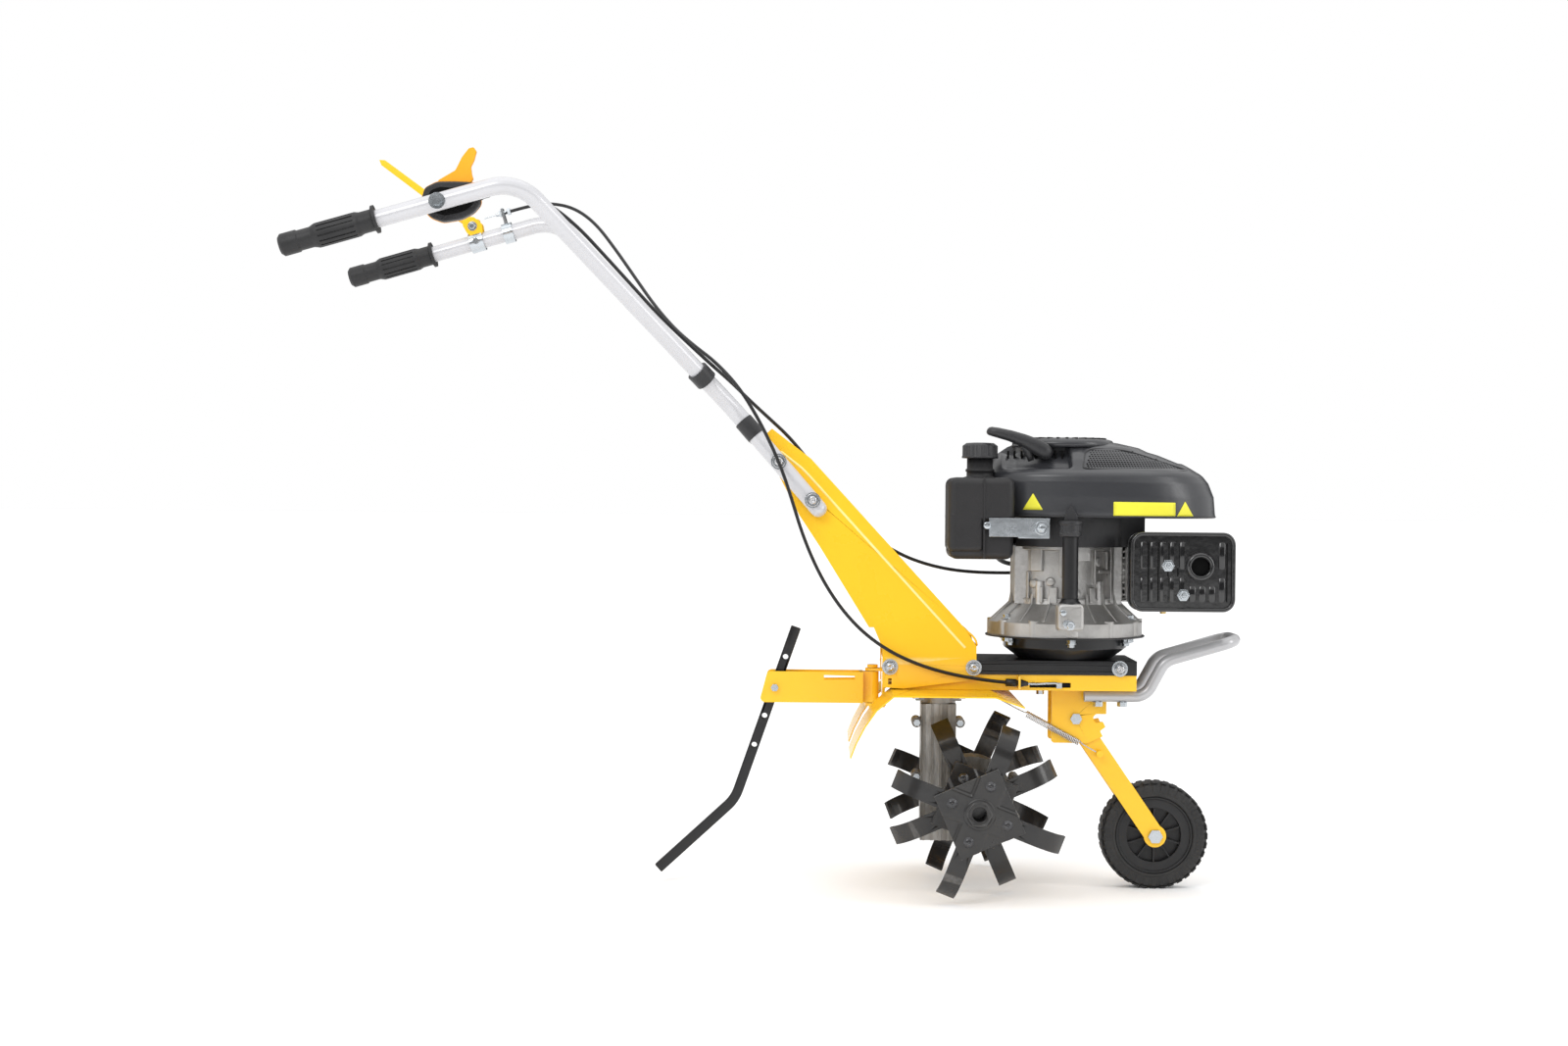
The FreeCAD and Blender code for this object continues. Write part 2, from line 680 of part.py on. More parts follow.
def drag_stake():
    """Flat bar with adjusting holes, bent rearwards to its point."""
    half = float(d.stake_width) / 2
    line = [along_stake(-178), along_stake(94)]
    tip = V(-157, 0, 20)
    knee = line[0]
    path = rounded_path([tip, knee, line[1]], [60])
    first = path.Edges[0]
    direction = first.tangentAt(first.FirstParameter)
    side = direction.cross(V(0, 1, 0)).normalize()
    thick = float(d.stake_thick) / 2
    corners = [tip + side * half + V(0, thick, 0), tip - side * half + V(0, thick, 0),
               tip - side * half - V(0, thick, 0), tip + side * half - V(0, thick, 0)]
    bar = path.makePipeShell([Part.makePolygon(corners + corners[:1])], True, False)
    for distance in (47, -46, -92):
        centre = along_stake(distance, 0, -20)
        bar = bar.cut(Part.makeCylinder(float(d.stake_hole), 40, centre, V(0, 1, 0)))
    return node("drag_stake", fixed(bar, "Stake"))


# ---------------------------------------------------------------- transport wheel

def on_fork(distance, across=0.0, y=0.0):
    """A point on the fork: distance down from the pivot, across towards the front."""
    angle = math.radians(float(d.fork_angle))
    return V(float(d.pivot_x) + distance * math.sin(angle) + across * math.cos(angle), y,
             float(d.pivot_z) - distance * math.cos(angle) + across * math.sin(angle))


def wheel_bracket():
    """Clevis under the tray: two notched cheeks and a top plate."""
    body = new_body("WheelBracket")
    side = new_sketch(body, "XZ_Plane")
    top = d.tray_bottom
    draw_outline(side, [
        (424, top), (424, 219), (427, 216), (478, 216), (500, 226), (496, 234), (504, 240),
        (500, 248), (490, 246), (486, 250), (486, 255), (490, 259), (505, 259), (505, top)])
    pad(body, side, 2 * d.bracket_half, midplane=True)
    gap = new_sketch(body, "YZ_Plane")
    inner = d.bracket_half - d.bracket_wall
    draw_outline(gap, [(-inner, 150), (inner, 150), (inner, top - 3), (-inner, top - 3)])
    pocket_through(body, gap)
    hole = new_sketch(body, "XZ_Plane")
    draw_circle(hole, d.pivot_x, d.pivot_z, d.pivot_radius + 0.05)
    pocket_through(body, hole)
    return node("wheel_bracket", body)


def pivot_bolt():
    half = d.bracket_half
    head = hexagon(d.pivot_x, -half - 6, d.pivot_z, "Y", 15, 6)
    nut = hexagon(d.pivot_x, half, d.pivot_z, "Y", 15, 7)
    shank = rod(d.pivot_x, -half - 1, d.pivot_z, "Y", d.pivot_radius, 2 * half + 2)
    return fuse(head, shank, nut)


def fork_turn():
    return FreeCAD.Rotation(V(0, 1, 0), -d.fork_angle)


SPRING_BAR = 62


def wheel_fork():
    """Two flat arms joined by a sleeve on the pivot and a cross bar."""
    pieces = []
    for side in (-1, 1):
        y = d.fork_half - d.fork_wall if side > 0 else -d.fork_half
        corner = on_fork(float(d.fork_length) + 3, -float(d.fork_width) / 2)
        pieces.append(block(corner.x, y, corner.z, d.fork_width, d.fork_wall,
                            d.fork_length + 3, fork_turn()))
        pieces.append(rod(d.pivot_x, y, d.pivot_z, "Y", d.fork_width / 2, d.fork_wall))
        foot = on_fork(float(d.fork_length))
        pieces.append(rod(foot.x, y, foot.z, "Y", d.fork_width / 2 + 2, d.fork_wall))
    sleeve = rod(d.pivot_x, -d.fork_half, d.pivot_z, "Y", 10, 2 * d.fork_half)
    bar = on_fork(SPRING_BAR)
    pieces.append(rod(bar.x, -d.fork_half - 13, bar.z, "Y", 5, 2 * d.fork_half + 13))
    foot = on_fork(float(d.fork_length))
    bores = [rod(d.pivot_x, -50, d.pivot_z, "Y", d.pivot_radius + 0.05, 100),
             rod(foot.x, -50, foot.z, "Y", d.wheel_axle_radius + 0.05, 100)]
    return node("wheel_fork", cut(fuse(sleeve, *pieces), *bores))


def wheel_axle():
    foot = on_fork(float(d.fork_length))
    half = float(d.fork_half)
    head = hexagon(foot.x, -half - 6.5, foot.z, "Y", 19, 6.5)
    nut = hexagon(foot.x, half, foot.z, "Y", 17, 8)
    shank = rod(foot.x, -half - 1, foot.z, "Y", d.wheel_axle_radius, 2 * half + 2)
    return node("wheel_axle", fuse(head, shank, nut))


def wheel_rim():
    """Moulded rim: hub, ten vanes and an outer band."""
    foot = on_fork(float(d.fork_length))
    body = new_body("WheelRim")
    section = new_sketch(body, "XY_Plane")
    hub = d.wheel_hub_radius
    draw_outline(section, [
        (d.wheel_axle_radius + 0.06, -21), (hub, -21), (hub, -3), (40, -3), (40, -d.rim_half),
        (d.rim_radius, -d.rim_half), (d.rim_radius, d.rim_half), (40, d.rim_half), (40, 3),
        (hub, 3), (hub, 21), (d.wheel_axle_radius + 0.06, 21)])
    revolve(body, section, "V_Axis")
    vane = new_sketch(body, "YZ_Plane", 0)
    draw_outline(vane, [(-12, 12.5), (12, 12.5), (12, 41), (-12, 41)])
    vane_pad = pad(body, vane, 2.4, midplane=True)
    polar(body, vane_pad, section, "V_Axis", 10)
    body.Placement = FreeCAD.Placement(V(foot.x, 0, foot.z), FreeCAD.Rotation())
    return node("wheel_rim", body)


def tyre():
    """Solid rubber tyre with a rounded shoulder and shallow side lugs."""
    foot = on_fork(float(d.fork_length))
    body = new_body("Tyre")
    section = new_sketch(body, "XY_Plane")
    inner = d.rim_radius + 0.01
    shoulder = d.wheel_radius - 6
    draw_outline(section, [
        (inner, -d.rim_half), (inner + 6, -d.tyre_half), (shoulder, -d.tyre_half),
        (d.wheel_radius, -d.tyre_half + 7), (d.wheel_radius, d.tyre_half - 7),
        (shoulder, d.tyre_half), (inner + 6, d.tyre_half), (inner, d.rim_half)])
    revolve(body, section, "V_Axis")
    groove = new_sketch(body, "YZ_Plane", 0)
    draw_outline(groove, [(10, shoulder - 1), (30, shoulder - 1), (30, shoulder + 12), (10, shoulder + 12)])
    cutter = body.newObject("PartDesign::Pocket", "Lug")
    cutter.Profile = groove
    cutter.Midplane = True
    cutter.Length = 3
    body.Tip = cutter
    polar(body, cutter, section, "V_Axis", 36)
    body.Placement = FreeCAD.Placement(V(foot.x, 0, foot.z), FreeCAD.Rotation())
    return node("tyre", body)


def wheel_spring():
    """Tension spring from the shield to the fork's bar, as its closed outer shape and end wires."""
    anchor = V(334, -35, 287)
    bar = on_fork(SPRING_BAR, 0, -35)
    hook = bar + (anchor - bar).normalize() * 6.2
    run = hook - anchor
    turn = FreeCAD.Rotation(V(0, 0, 1), run)
    coil = doc.addObject("Part::Cylinder", "Coil")
    bind(coil, Radius=d.spring_radius, Height=run.Length * 0.5)
    coil.Placement = FreeCAD.Placement(anchor + run * 0.34, turn)
    wire = doc.addObject("Part::Cylinder", "SpringWire")
    bind(wire, Radius=1.1, Height=run.Length)
    wire.Placement = FreeCAD.Placement(anchor, turn)
    return node("wheel_spring", fuse(coil, wire))


# ---------------------------------------------------------------- front handle and handlebar

def front_handle():
    """Bent tube loop in front: two legs under the tray joined by a cross bar."""
    half = float(d.loop_half)
    z = float(d.tray_bottom) - float(d.loop_radius)
    left = [V(470, half, z), V(560, half, z), V(588, half, z + 52), V(693, half, z + 83)]
    right = [V(p.x, -p.y, p.z) for p in reversed(left)]
    shape = tube(left + right, [26, 30, 24, 24, 30, 26], d.loop_radius, d.loop_wall)
    for x in (490, 526):
        for y in (-half, half):
            shape = shape.cut(Part.makeCylinder(float(d.bolt_radius) + 0.05, 60, V(x, y, z - 30)))
    return node("front_handle", fixed(shape, "Loop"))


def handle_points(side):
    """The handlebar tube's corners, from the grip end to the foot."""
    half = float(d.handle_half)
    foot_z, knee_z, screw_z = 558, 704.7, HANDLE_SCREWS[0][1]
    foot_y = column_half_width(foot_z) + d.handle_radius + 0.4
    screw_y = column_half_width(screw_z) + d.handle_radius + 0.4
    knee_y = screw_y - (foot_y - screw_y) * ((knee_z - screw_z) / (screw_z - foot_z))
    return [V(-668, side * half, 919.8), V(-345, side * (half - 6), 1012.7),
            V(-50, side * float(knee_y), knee_z), V(78, side * float(foot_y), foot_z)]


def handlebar(side, name):
    shape = tube(handle_points(side), [62, 90], d.handle_radius, d.handle_wall)
    screws = list(HANDLE_SCREWS)
    if side < 0:
        screws.append((-454, on_grip_run(-1, -454).z))
    for x, z in screws:
        hole = Part.makeCylinder(float(d.bolt_radius) + 0.05, 320, V(x, min(0, side * 320), z), V(0, 1, 0))
        shape = shape.cut(hole)
    return node(name, fixed(shape, "Handlebar"))


def grip(side, name):
    """Rubber grip: end knob, neck, fluted barrel, neck and flange."""
    points = handle_points(side)
    run = (points[1] - points[0]).normalize()
    start = points[0] - run * 6
    radius = float(d.grip_radius)
    neck = float(d.grip_neck)
    knob = float(d.grip_end_radius)
    flange = float(d.grip_flange)
    steps = [(0, 0), (0, knob - 4), (4, knob), (26, knob), (28, neck), (46, neck), (54, radius),
             (112, radius), (118, neck + 1), (134, neck + 1), (136, flange), (140, flange), (140, 0)]
    face = Part.Face(Part.makePolygon([V(r, 0, a) for a, r in steps + steps[:1]]))
    solid = face.revolve(V(0, 0, 0), V(0, 0, 1), 360)
    core = Part.makeCylinder(float(d.handle_radius) + 0.02, 200, V(0, 0, 6))
    solid = solid.cut(core)
    flute = Part.makeBox(4, 2.4, 52, V(radius - 1.6, -1.2, 57))
    for index in range(14):
        solid = solid.cut(flute.rotated(V(0, 0, 0), V(0, 0, 1), index * 360 / 14))
    obj = fixed(solid, "Grip")
    obj.Placement = FreeCAD.Placement(start, FreeCAD.Rotation(V(0, 0, 1), run))
    return node(name, obj)


def band(side, centre, length, thickness):
    """A plastic sleeve round a handlebar's lower leg."""
    points = handle_points(side)
    lower = centre.z < points[2].z
    direction = (points[3] - points[2] if lower else points[2] - points[1]).normalize()
    start = centre - direction * (length / 2)
    outer = Part.makeCylinder(float(d.handle_radius) + thickness, length, start, direction)
    inner = Part.makeCylinder(float(d.handle_radius) + 0.02, length + 2, start - direction, direction)
    return outer.cut(inner)


CLIP_SHARE = 0.85


def handle_bands():
    """Black sleeves on both lower legs, and the cable clip on the right one."""
    shapes = []
    for side in (-1, 1):
        points = handle_points(side)
        run = points[3] - points[2]
        shapes.append(fixed(band(side, points[2] + run * 0.2, 30, 1.6), "Band"))
    points = handle_points(-1)
    run = points[2] - points[1]
    clip = band(-1, points[1] + run * CLIP_SHARE, 22, 4)
    shapes.append(fixed(clip, "Clip"))
    return node("handle_bands", group(*shapes))


# ---------------------------------------------------------------- gear column

def case_solid():
    """The whole casting: a ribbed column beside a round drum on the axle."""
    column = block(d.worm_x - d.case_half, -d.case_half + 3, d.case_bottom, 2 * d.case_half,
                   2 * d.case_half - 6, d.case_top - d.case_bottom)
    ribs = [block(d.worm_x + x, -d.case_half, d.case_bottom, 4, 2 * d.case_half,
                  d.case_top - d.case_bottom) for x in (-23, -11, 1, 13)]
    drum = rod(d.axle_x, -d.case_drum_half, d.axle_z, "Y", d.case_drum_radius, 2 * d.case_drum_half)
    neck = rod(d.axle_x, -d.case_drum_half - 16, d.axle_z, "Y", 24, 2 * d.case_drum_half + 32)
    bosses = [rod(x, -20, z, "Y", 7.5, 40) for x, z in CASE_SCREWS]
    return fuse(column, drum, neck, *ribs, *bosses)


CASE_SCREWS = [(226, 243), (290, 243), (226, 163), (226, 84), (372, 160), (372, 104), (312, 64)]


def gearcase(side, name):
    """One half of the casting, split on the middle plane."""
    worm_bore = rod(d.worm_x, 0, d.case_bottom + 12, "Z", d.worm_radius + 3,
                    d.case_top - d.case_bottom - 12 + 1)
    cavity = rod(d.axle_x, -d.case_cavity_half, d.axle_z, "Y", d.case_cavity_radius,
                 2 * d.case_cavity_half)
    seat = rod(d.axle_x, -d.case_drum_half - 1, d.axle_z, "Y", 18, 2 * d.case_drum_half + 2)
    mouth = rod(d.axle_x, -60, d.axle_z, "Y", d.axle_radius + 3, 120)
    holes = [rod(x, -30, z, "Y", 3.05, 60) for x, z in CASE_SCREWS]
    half = block(150, 0 if side > 0 else -80, 0, 300, 80, 400)
    return node(name, common(cut(case_solid(), worm_bore, cavity, seat, mouth, *holes), half))


def gearcase_neck():
    """Flanged adaptor between the gear column and the tray."""
    flange = block(d.worm_x - d.flange_length / 2, -d.flange_half, d.neck_top - d.flange_thick,
                   d.flange_length, 2 * d.flange_half, d.flange_thick)
    rounded = fillet(flange, 14, runs_along("Z"))
    barrel = rod(d.worm_x, 0, d.case_top, "Z", d.case_half, d.neck_top - d.case_top)
    webs = [block(d.worm_x - 34, y, d.case_top + 4, 68, 5, 14) for y in (-16, 11)]
    bore = rod(d.worm_x, 0, d.case_top - 5, "Z", 17, 60)
    holes = [rod(d.worm_x + x, y, d.case_top - 5, "Z", d.bolt_radius + 0.05, 60)
             for x in (-33, 33) for y in (-29, 29)]
    return node("gearcase_neck", cut(fuse(rounded, barrel, *webs), bore, *holes))


def gearcase_screws():
    """Screws of the casting's joint and of its flange."""
    screws = []
    for x, z in CASE_SCREWS:
        head = hexagon(x, -25, z, "Y", 9, 5)
        shank = rod(x, -21, z, "Y", 3, 40)
        screws.append(fuse(head, shank))
    for x in (-33, 33):
        for y in (-29, 29):
            screws.append(upright_bolt(d.worm_x + x, y, d.neck_top - d.flange_thick, 17, 11))
    return screws


def ring(x, y, z, axis, outer, bore, length):
    """A plain ring such as a bearing or a seal."""
    body = rod(x, y, z, axis, outer, length)
    offset = {"X": (x - 1, y, z), "Y": (x, y - 1, z), "Z": (x, y, z - 1)}[axis]
    hole = rod(*offset, axis, bore, length + 2)
    return cut(body, hole)


def gearbox_bearings():
    worm = [ring(d.worm_x, 0, z, "Z", d.worm_radius + 2.95, d.worm_shaft_radius + 0.05, 11)
            for z in (84, 256)]
    axle = [ring(d.axle_x, y, d.axle_z, "Y", 17.95, d.axle_radius + 0.05, 9) for y in (-22.5, 13.5)]
    return node("gearbox_bearings", group(*worm, *axle))


def worm_shaft():
    """Upright shaft with its worm at axle height."""
    shaft = rod(d.worm_x, 0, 83, "Z", d.worm_shaft_radius, 251)
    worm = rod(d.worm_x, 0, d.axle_z - d.worm_length / 2, "Z", d.worm_radius, d.worm_length)
    grooves = [ring(d.worm_x, 0, d.axle_z - d.worm_length / 2 + 4 + 7 * n, "Z",
                    d.worm_radius + 1, d.worm_radius - 3, 3) for n in range(6)]
    return node("worm_shaft", cut(fuse(shaft, worm), *grooves))


def pulley(name, x, radius, bore, hub):
    """A V-belt pulley centred on the belt plane."""
    body = new_body(name.title().replace("_", ""))
    section = new_sketch(body, "XZ_Plane")
    low = d.belt_z - d.pulley_height / 2
    high = d.belt_z + d.pulley_height / 2
    draw_outline(section, [
        (bore, low), (radius, low), (radius, low + 2), (radius - d.belt_height - 2, d.belt_z - 5.4),
        (radius - d.belt_height - 2, d.belt_z + 5.4), (radius, high - 2), (radius, high),
        (bore, high)])
    revolve(body, section, "V_Axis")
    if hub:
        lightening = new_sketch(body, "XY_Plane")
        draw_circle(lightening, (radius + bore) / 2.2, 0, hub)
        doc.recompute()
        hole = body.newObject("PartDesign::Pocket", "Lightening")
        hole.Profile = lightening
        hole.Midplane = True
        hole.Length = 2000
        polar(body, hole, section, "V_Axis", 5)
    place(body, x, 0, 0)
    return node(name, body)


def tine_axle():
    """Cross shaft with a hole near each end for the hub pins."""
    shaft = rod(d.axle_x, -d.axle_half, d.axle_z, "Y", d.axle_radius, 2 * d.axle_half)
    distance = d.hub_inner_end + 12
    holes = [rod(d.axle_x, y, d.axle_z - 30, "Z", 4.05, 60) for y in (distance, -distance)]
    return node("tine_axle", cut(shaft, *holes))


def worm_wheel():
    """Bronze wheel with its teeth cut round the rim."""
    body = new_body("WormWheel")
    section = new_sketch(body, "XY_Plane")
    half = d.wheel_gear_width / 2
    bore = d.axle_radius + 0.01
    draw_outline(section, [(bore, -half), (d.wheel_gear_radius, -half), (d.wheel_gear_radius, half),
                           (bore, half)])
    revolve(body, section, "V_Axis")
    tooth = new_sketch(body, "XZ_Plane")
    rim = d.wheel_gear_radius
    draw_outline(tooth, [(rim - 4, -1.2), (rim + 3, -2.6), (rim + 3, 2.6), (rim - 4, 1.2)])
    doc.recompute()
    gap = body.newObject("PartDesign::Pocket", "ToothGap")
    gap.Profile = tooth
    gap.Midplane = True
    gap.Length = 100
    polar(body, gap, section, "V_Axis", 24)
    place(body, d.axle_x, 0, d.axle_z)
    return node("worm_wheel", body)


# ---------------------------------------------------------------- tine rotors

def blade(start_y, inward):
    """A flat bar that runs out along +X and bends over towards the machine's middle."""
    root = float(d.blade_root)
    straight = float(d.blade_straight)
    bend = float(d.blade_bend)
    thick = float(d.blade_thick)
    angle = math.radians(58)
    tip = float(d.blade_tip)

    def side(radius):
        centre = V(straight, bend, 0)
        first = V(straight, bend - radius, 0)
        middle = centre + V(radius * math.sin(angle / 2), -radius * math.cos(angle / 2), 0)
        last = centre + V(radius * math.sin(angle), -radius * math.cos(angle), 0)
        return first, middle, last, last + V(tip * math.cos(angle), tip * math.sin(angle), 0)

    outer = side(bend)
    inner = side(bend - thick)
    edges = [
        Part.LineSegment(V(root, 0, 0), outer[0]).toShape(),
        Part.Arc(*outer[:3]).toShape(),
        Part.LineSegment(outer[2], outer[3]).toShape(),
        Part.LineSegment(outer[3], inner[3]).toShape(),
        Part.LineSegment(inner[3], inner[2]).toShape(),
        Part.Arc(inner[2], inner[1], inner[0]).toShape(),
        Part.LineSegment(inner[0], V(root, thick, 0)).toShape(),
        Part.LineSegment(V(root, thick, 0), V(root, 0, 0)).toShape(),
    ]
    face = Part.Face(Part.Wire(edges))
    solid = face.extrude(V(0, 0, float(d.blade_width)))
    solid.translate(V(0, 0, -float(d.blade_width) / 2))
    if inward < 0:
        solid = solid.mirror(V(0, 0, 0), V(0, 1, 0))
    solid.translate(V(0, start_y, 0))
    return solid


def tine_rotor(side, first_phase, second_phase, name):
    """A hub tube with two square plates, each carrying four riveted blades."""
    pieces = []
    hub_start = float(d.hub_inner_end)
    hub_length = float(d.hub_outer_end) - hub_start
    hub = Part.makeCylinder(float(d.hub_outer), hub_length, V(0, side * hub_start, 0), V(0, side, 0))
    hub = hub.cut(Part.makeCylinder(float(d.hub_bore), hub_length + 4, V(0, side * (hub_start - 2), 0),
                                    V(0, side, 0)))
    plate_thick = float(d.plate_thick)
    for distance, phase in ((float(d.star_outer), first_phase), (float(d.star_inner), second_phase)):
        edge = float(d.plate_side)
        plate = Part.makeBox(edge, plate_thick, edge, V(-edge / 2, 0, -edge / 2))
        plate = plate.makeFillet(5, [e for e in plate.Edges if runs_along("Y")(e)])
        plate.rotate(V(0, 0, 0), V(0, 1, 0), 45)
        near = min(side * distance, side * (distance + plate_thick))
        plate.translate(V(0, near, 0))
        plate = plate.cut(Part.makeCylinder(float(d.hub_outer), 600, V(0, -300, 0), V(0, 1, 0)))
        blade_face = side * distance
        star = []
        for index in range(4):
            arm = blade(blade_face, -side)
            rivet = Part.makeCylinder(float(d.rivet_radius) - 1.5, plate_thick + float(d.blade_thick),
                                      V(float(d.rivet_circle), blade_face + side * plate_thick, 0),
                                      V(0, -side, 0))
            head = Part.makeCone(float(d.rivet_radius), 2.5, 3,
                                 V(float(d.rivet_circle), blade_face + side * plate_thick, 0),
                                 V(0, side, 0))
            tail = Part.makeCone(float(d.rivet_radius), 2.5, 2.5,
                                 V(float(d.rivet_circle), blade_face - side * float(d.blade_thick), 0),
                                 V(0, -side, 0))
            turn = -index * 90
            hole = Part.makeCylinder(float(d.rivet_radius) - 1.5, 40,
                                     V(float(d.rivet_circle), blade_face - 20, 0), V(0, 1, 0))
            arm = arm.cut(hole)
            hole.rotate(V(0, 0, 0), V(0, 1, 0), turn)
            plate = plate.cut(hole)
            for shape in (arm, rivet.fuse([head, tail]).removeSplitter()):
                shape.rotate(V(0, 0, 0), V(0, 1, 0), turn)
                star.append(shape)
        for shape in [plate] + star:
            shape.rotate(V(0, 0, 0), V(0, 1, 0), -phase)
            pieces.append(shape)
    pin = Part.makeCylinder(4, 44, V(0, side * (hub_start + 12), -22))
    pin_hole = Part.makeCylinder(4.02, 60, V(0, side * (hub_start + 12), -30))
    relief = Part.makeCylinder(float(d.hub_bore) + 1, 2, V(0, side * (float(d.axle_half) + 0.5), 0),
                               V(0, side, 0))
    hub = hub.cut(pin_hole).cut(relief)
    obj = fixed(Part.makeCompound([hub, pin] + pieces), "Rotor")
    place(obj, d.axle_x, 0, d.axle_z)
    return node(name, obj)


# ---------------------------------------------------------------- belt drive

def drive_belt():
    """V-belt round the two pulleys: two half rings and two straight runs."""
    r1 = float(d.engine_pulley)
    r2 = float(d.driven_pulley)
    x1 = float(d.crank_x)
    x2 = float(d.worm_x)
    slope = math.asin((r2 - r1) / (x1 - x2))
    low = float(d.belt_z) - float(d.belt_width) / 2

    def loop(inset):
        a = r1 - inset
        b = r2 - inset
        normal = V(math.sin(slope), math.cos(slope), 0)
        mirror = V(math.sin(slope), -math.cos(slope), 0)
        p1, p2 = V(x1, 0, low) + normal * a, V(x2, 0, low) + normal * b
        q1, q2 = V(x1, 0, low) + mirror * a, V(x2, 0, low) + mirror * b
        edges = [Part.LineSegment(p1, p2).toShape(),
                 Part.Arc(p2, V(x2 - b, 0, low), q2).toShape(),
                 Part.LineSegment(q2, q1).toShape(),
                 Part.Arc(q1, V(x1 + a, 0, low), p1).toShape()]
        return Part.Face(Part.Wire(edges))

    ring_face = loop(0.6).cut(loop(0.6 + float(d.belt_height)))
    return node("drive_belt", fixed(ring_face.extrude(V(0, 0, float(d.belt_width))), "Belt"))


def idler_arm():
    """Flat lever on a pivot under the deck; its finger leaves through the tray's slot."""
    x = float(d.idler_pivot_x)
    y = float(d.idler_pivot_y)
    z = 301.5
    outline = [V(x - 9, y + 9, z), V(x + 9, y + 9, z), V(x + 6, -25, z), V(x + 4, -78, z), V(x - 4, -78, z),
               V(x - 6, -25, z), V(x - 38, float(d.idler_y) - 9, z), V(x - 52, float(d.idler_y) - 9, z),
               V(x - 52, float(d.idler_y) + 9, z), V(x - 38, float(d.idler_y) + 9, z)]
    plate = Part.Face(Part.makePolygon(outline + outline[:1])).extrude(V(0, 0, 3))
    hook = Part.makeBox(8, 3, 8, V(x - 4, -81, z - 1))
    bore = Part.makeCylinder(float(d.bolt_radius) + 0.05, 20, V(x, y, 290))
    stub = Part.makeCylinder(4, 20, V(float(d.idler_x), float(d.idler_y), z + 1))
    shape = plate.fuse([hook, stub]).removeSplitter().cut(bore)
    return node("idler_arm", fixed(shape, "IdlerArm"))


def idler_pulley():
    body = ring(d.idler_x, d.idler_y, d.belt_z - 6, "Z", d.idler_radius, 4.05, 12)
    return node("idler_pulley", body)


# ---------------------------------------------------------------- engine

def bell_housing():
    """Pressed adaptor between deck and engine, with the round plate on top."""
    body = new_body("BellHousing")
    section = new_sketch(body, "XZ_Plane")
    foot = d.deck_top
    wall = d.bell_wall
    draw_outline(section, [
        (d.deck_hole, foot), (d.bell_foot, foot), (d.bell_rim, foot + 17), (d.bell_rim, d.bell_top),
        (d.base_rim + 2, d.bell_top), (d.base_rim + 2, d.bell_top + 2), (30, d.bell_top + 2),
        (30, d.bell_top), (d.bell_rim - wall, d.bell_top), (d.bell_rim - wall, foot + 19),
        (d.bell_foot - 2, foot + wall), (d.deck_hole, foot + wall)])
    revolve(body, section, "V_Axis")
    place(body, d.crank_x, 0, 0)
    return node("bell_housing", body)


def engine_base():
    """Oil sump casting with the filler boss on the right."""
    bottom = d.base_bottom
    rim = rod(d.crank_x, 0, bottom, "Z", d.base_rim, d.base_rim_height)
    flare = cone(d.crank_x, 0, bottom + d.base_rim_height, "Z", d.base_rim, d.base_neck,
                 d.base_top - bottom - d.base_rim_height)
    boss = block(d.oil_x - 17, -d.oil_y - 14, 388, 34, 42, 36)
    spigot = rod(d.oil_x, -d.oil_y, 400, "Z", 14, d.oil_bottom - 400)
    hollow = rod(d.crank_x, 0, bottom + 8, "Z", d.base_neck - 12, 60)
    mouth = rod(d.oil_x, -d.oil_y, 398, "Z", 8.5, 60)
    bore = rod(d.crank_x, 0, bottom - 5, "Z", d.crank_radius + 0.5, 60)
    lugs = [rod(d.crank_x + 106 * math.cos(math.radians(a)), 106 * math.sin(math.radians(a)), bottom,
                "Z", 9, 24) for a in (0, 60, 120, 180, 240, 300)]
    return node("engine_base", cut(fuse(rim, flare, boss, spigot, *lugs), hollow, mouth, bore))


def crankcase():
    """Block casting: a round case with ribs and an opening towards the barrel."""
    height = d.block_top - d.base_top
    core = rod(d.crank_x, 0, d.base_top, "Z", d.case_block_half - 4, height)
    walls = [block(d.crank_x - d.case_block_half, y, d.base_top, 2 * d.case_block_half, 8, height)
             for y in (-44, 36)]
    ribs = [rod(d.crank_x + 74 * math.cos(math.radians(a)), 74 * math.sin(math.radians(a)),
                d.base_top, "Z", 7, height * 0.4) for a in (200, 235, 270, 305, 160, 125, 90, 55)]
    flange = rod(d.crank_x, 0, d.base_top, "Z", d.case_block_half, 6)
    hollow = rod(d.crank_x, 0, d.base_top - 1, "Z", d.case_block_half - 14, height - 8)
    bore = rod(d.crank_x, 0, d.base_top, "Z", d.crank_radius + 0.5, 120)
    throat = rod(d.crank_x, 0, 468, "X", 36, 200)
    deck = block(d.barrel_start - 14, -40, d.base_top + 6, 14, 80, height - 6)
    return node("crankcase", cut(fuse(core, flange, deck, *walls, *ribs), hollow, bore, throat))


def cylinder_block():
    """Finned barrel and head in one casting, lying forward from the crankcase."""
    core = rod(d.barrel_start, 0, 468, "X", 38, d.barrel_length)
    fins = [block(d.barrel_start, -d.barrel_half, 426 + d.fin_pitch * n, d.barrel_length,
                  2 * d.barrel_half, 2.5) for n in range(9)]
    head = block(d.barrel_start + d.barrel_length - 26, -40, 428, 26, 80, 76)
    port = rod(560, -66, 468, "Y", 15, 132)
    bore = rod(d.barrel_start - 1, 0, 468, "X", 32, d.barrel_length - 24)
    plug_hole = rod(600, 0, 480, "X", 7.05, 30)
    return node("cylinder_block", cut(fuse(core, head, port, *fins), bore, plug_hole))


def spark_plug():
    start = d.barrel_start + d.barrel_length
    thread = rod(start - 14, 0, 480, "X", 7, 14)
    nut = hexagon(start, 0, 480, "X", 18, 9)
    insulator = rod(start + 9, 0, 480, "X", 5.5, 16)
    return node("spark_plug", fuse(thread, nut, insulator))


MUFFLER_SCREWS = [(578, 482), (600, 440)]


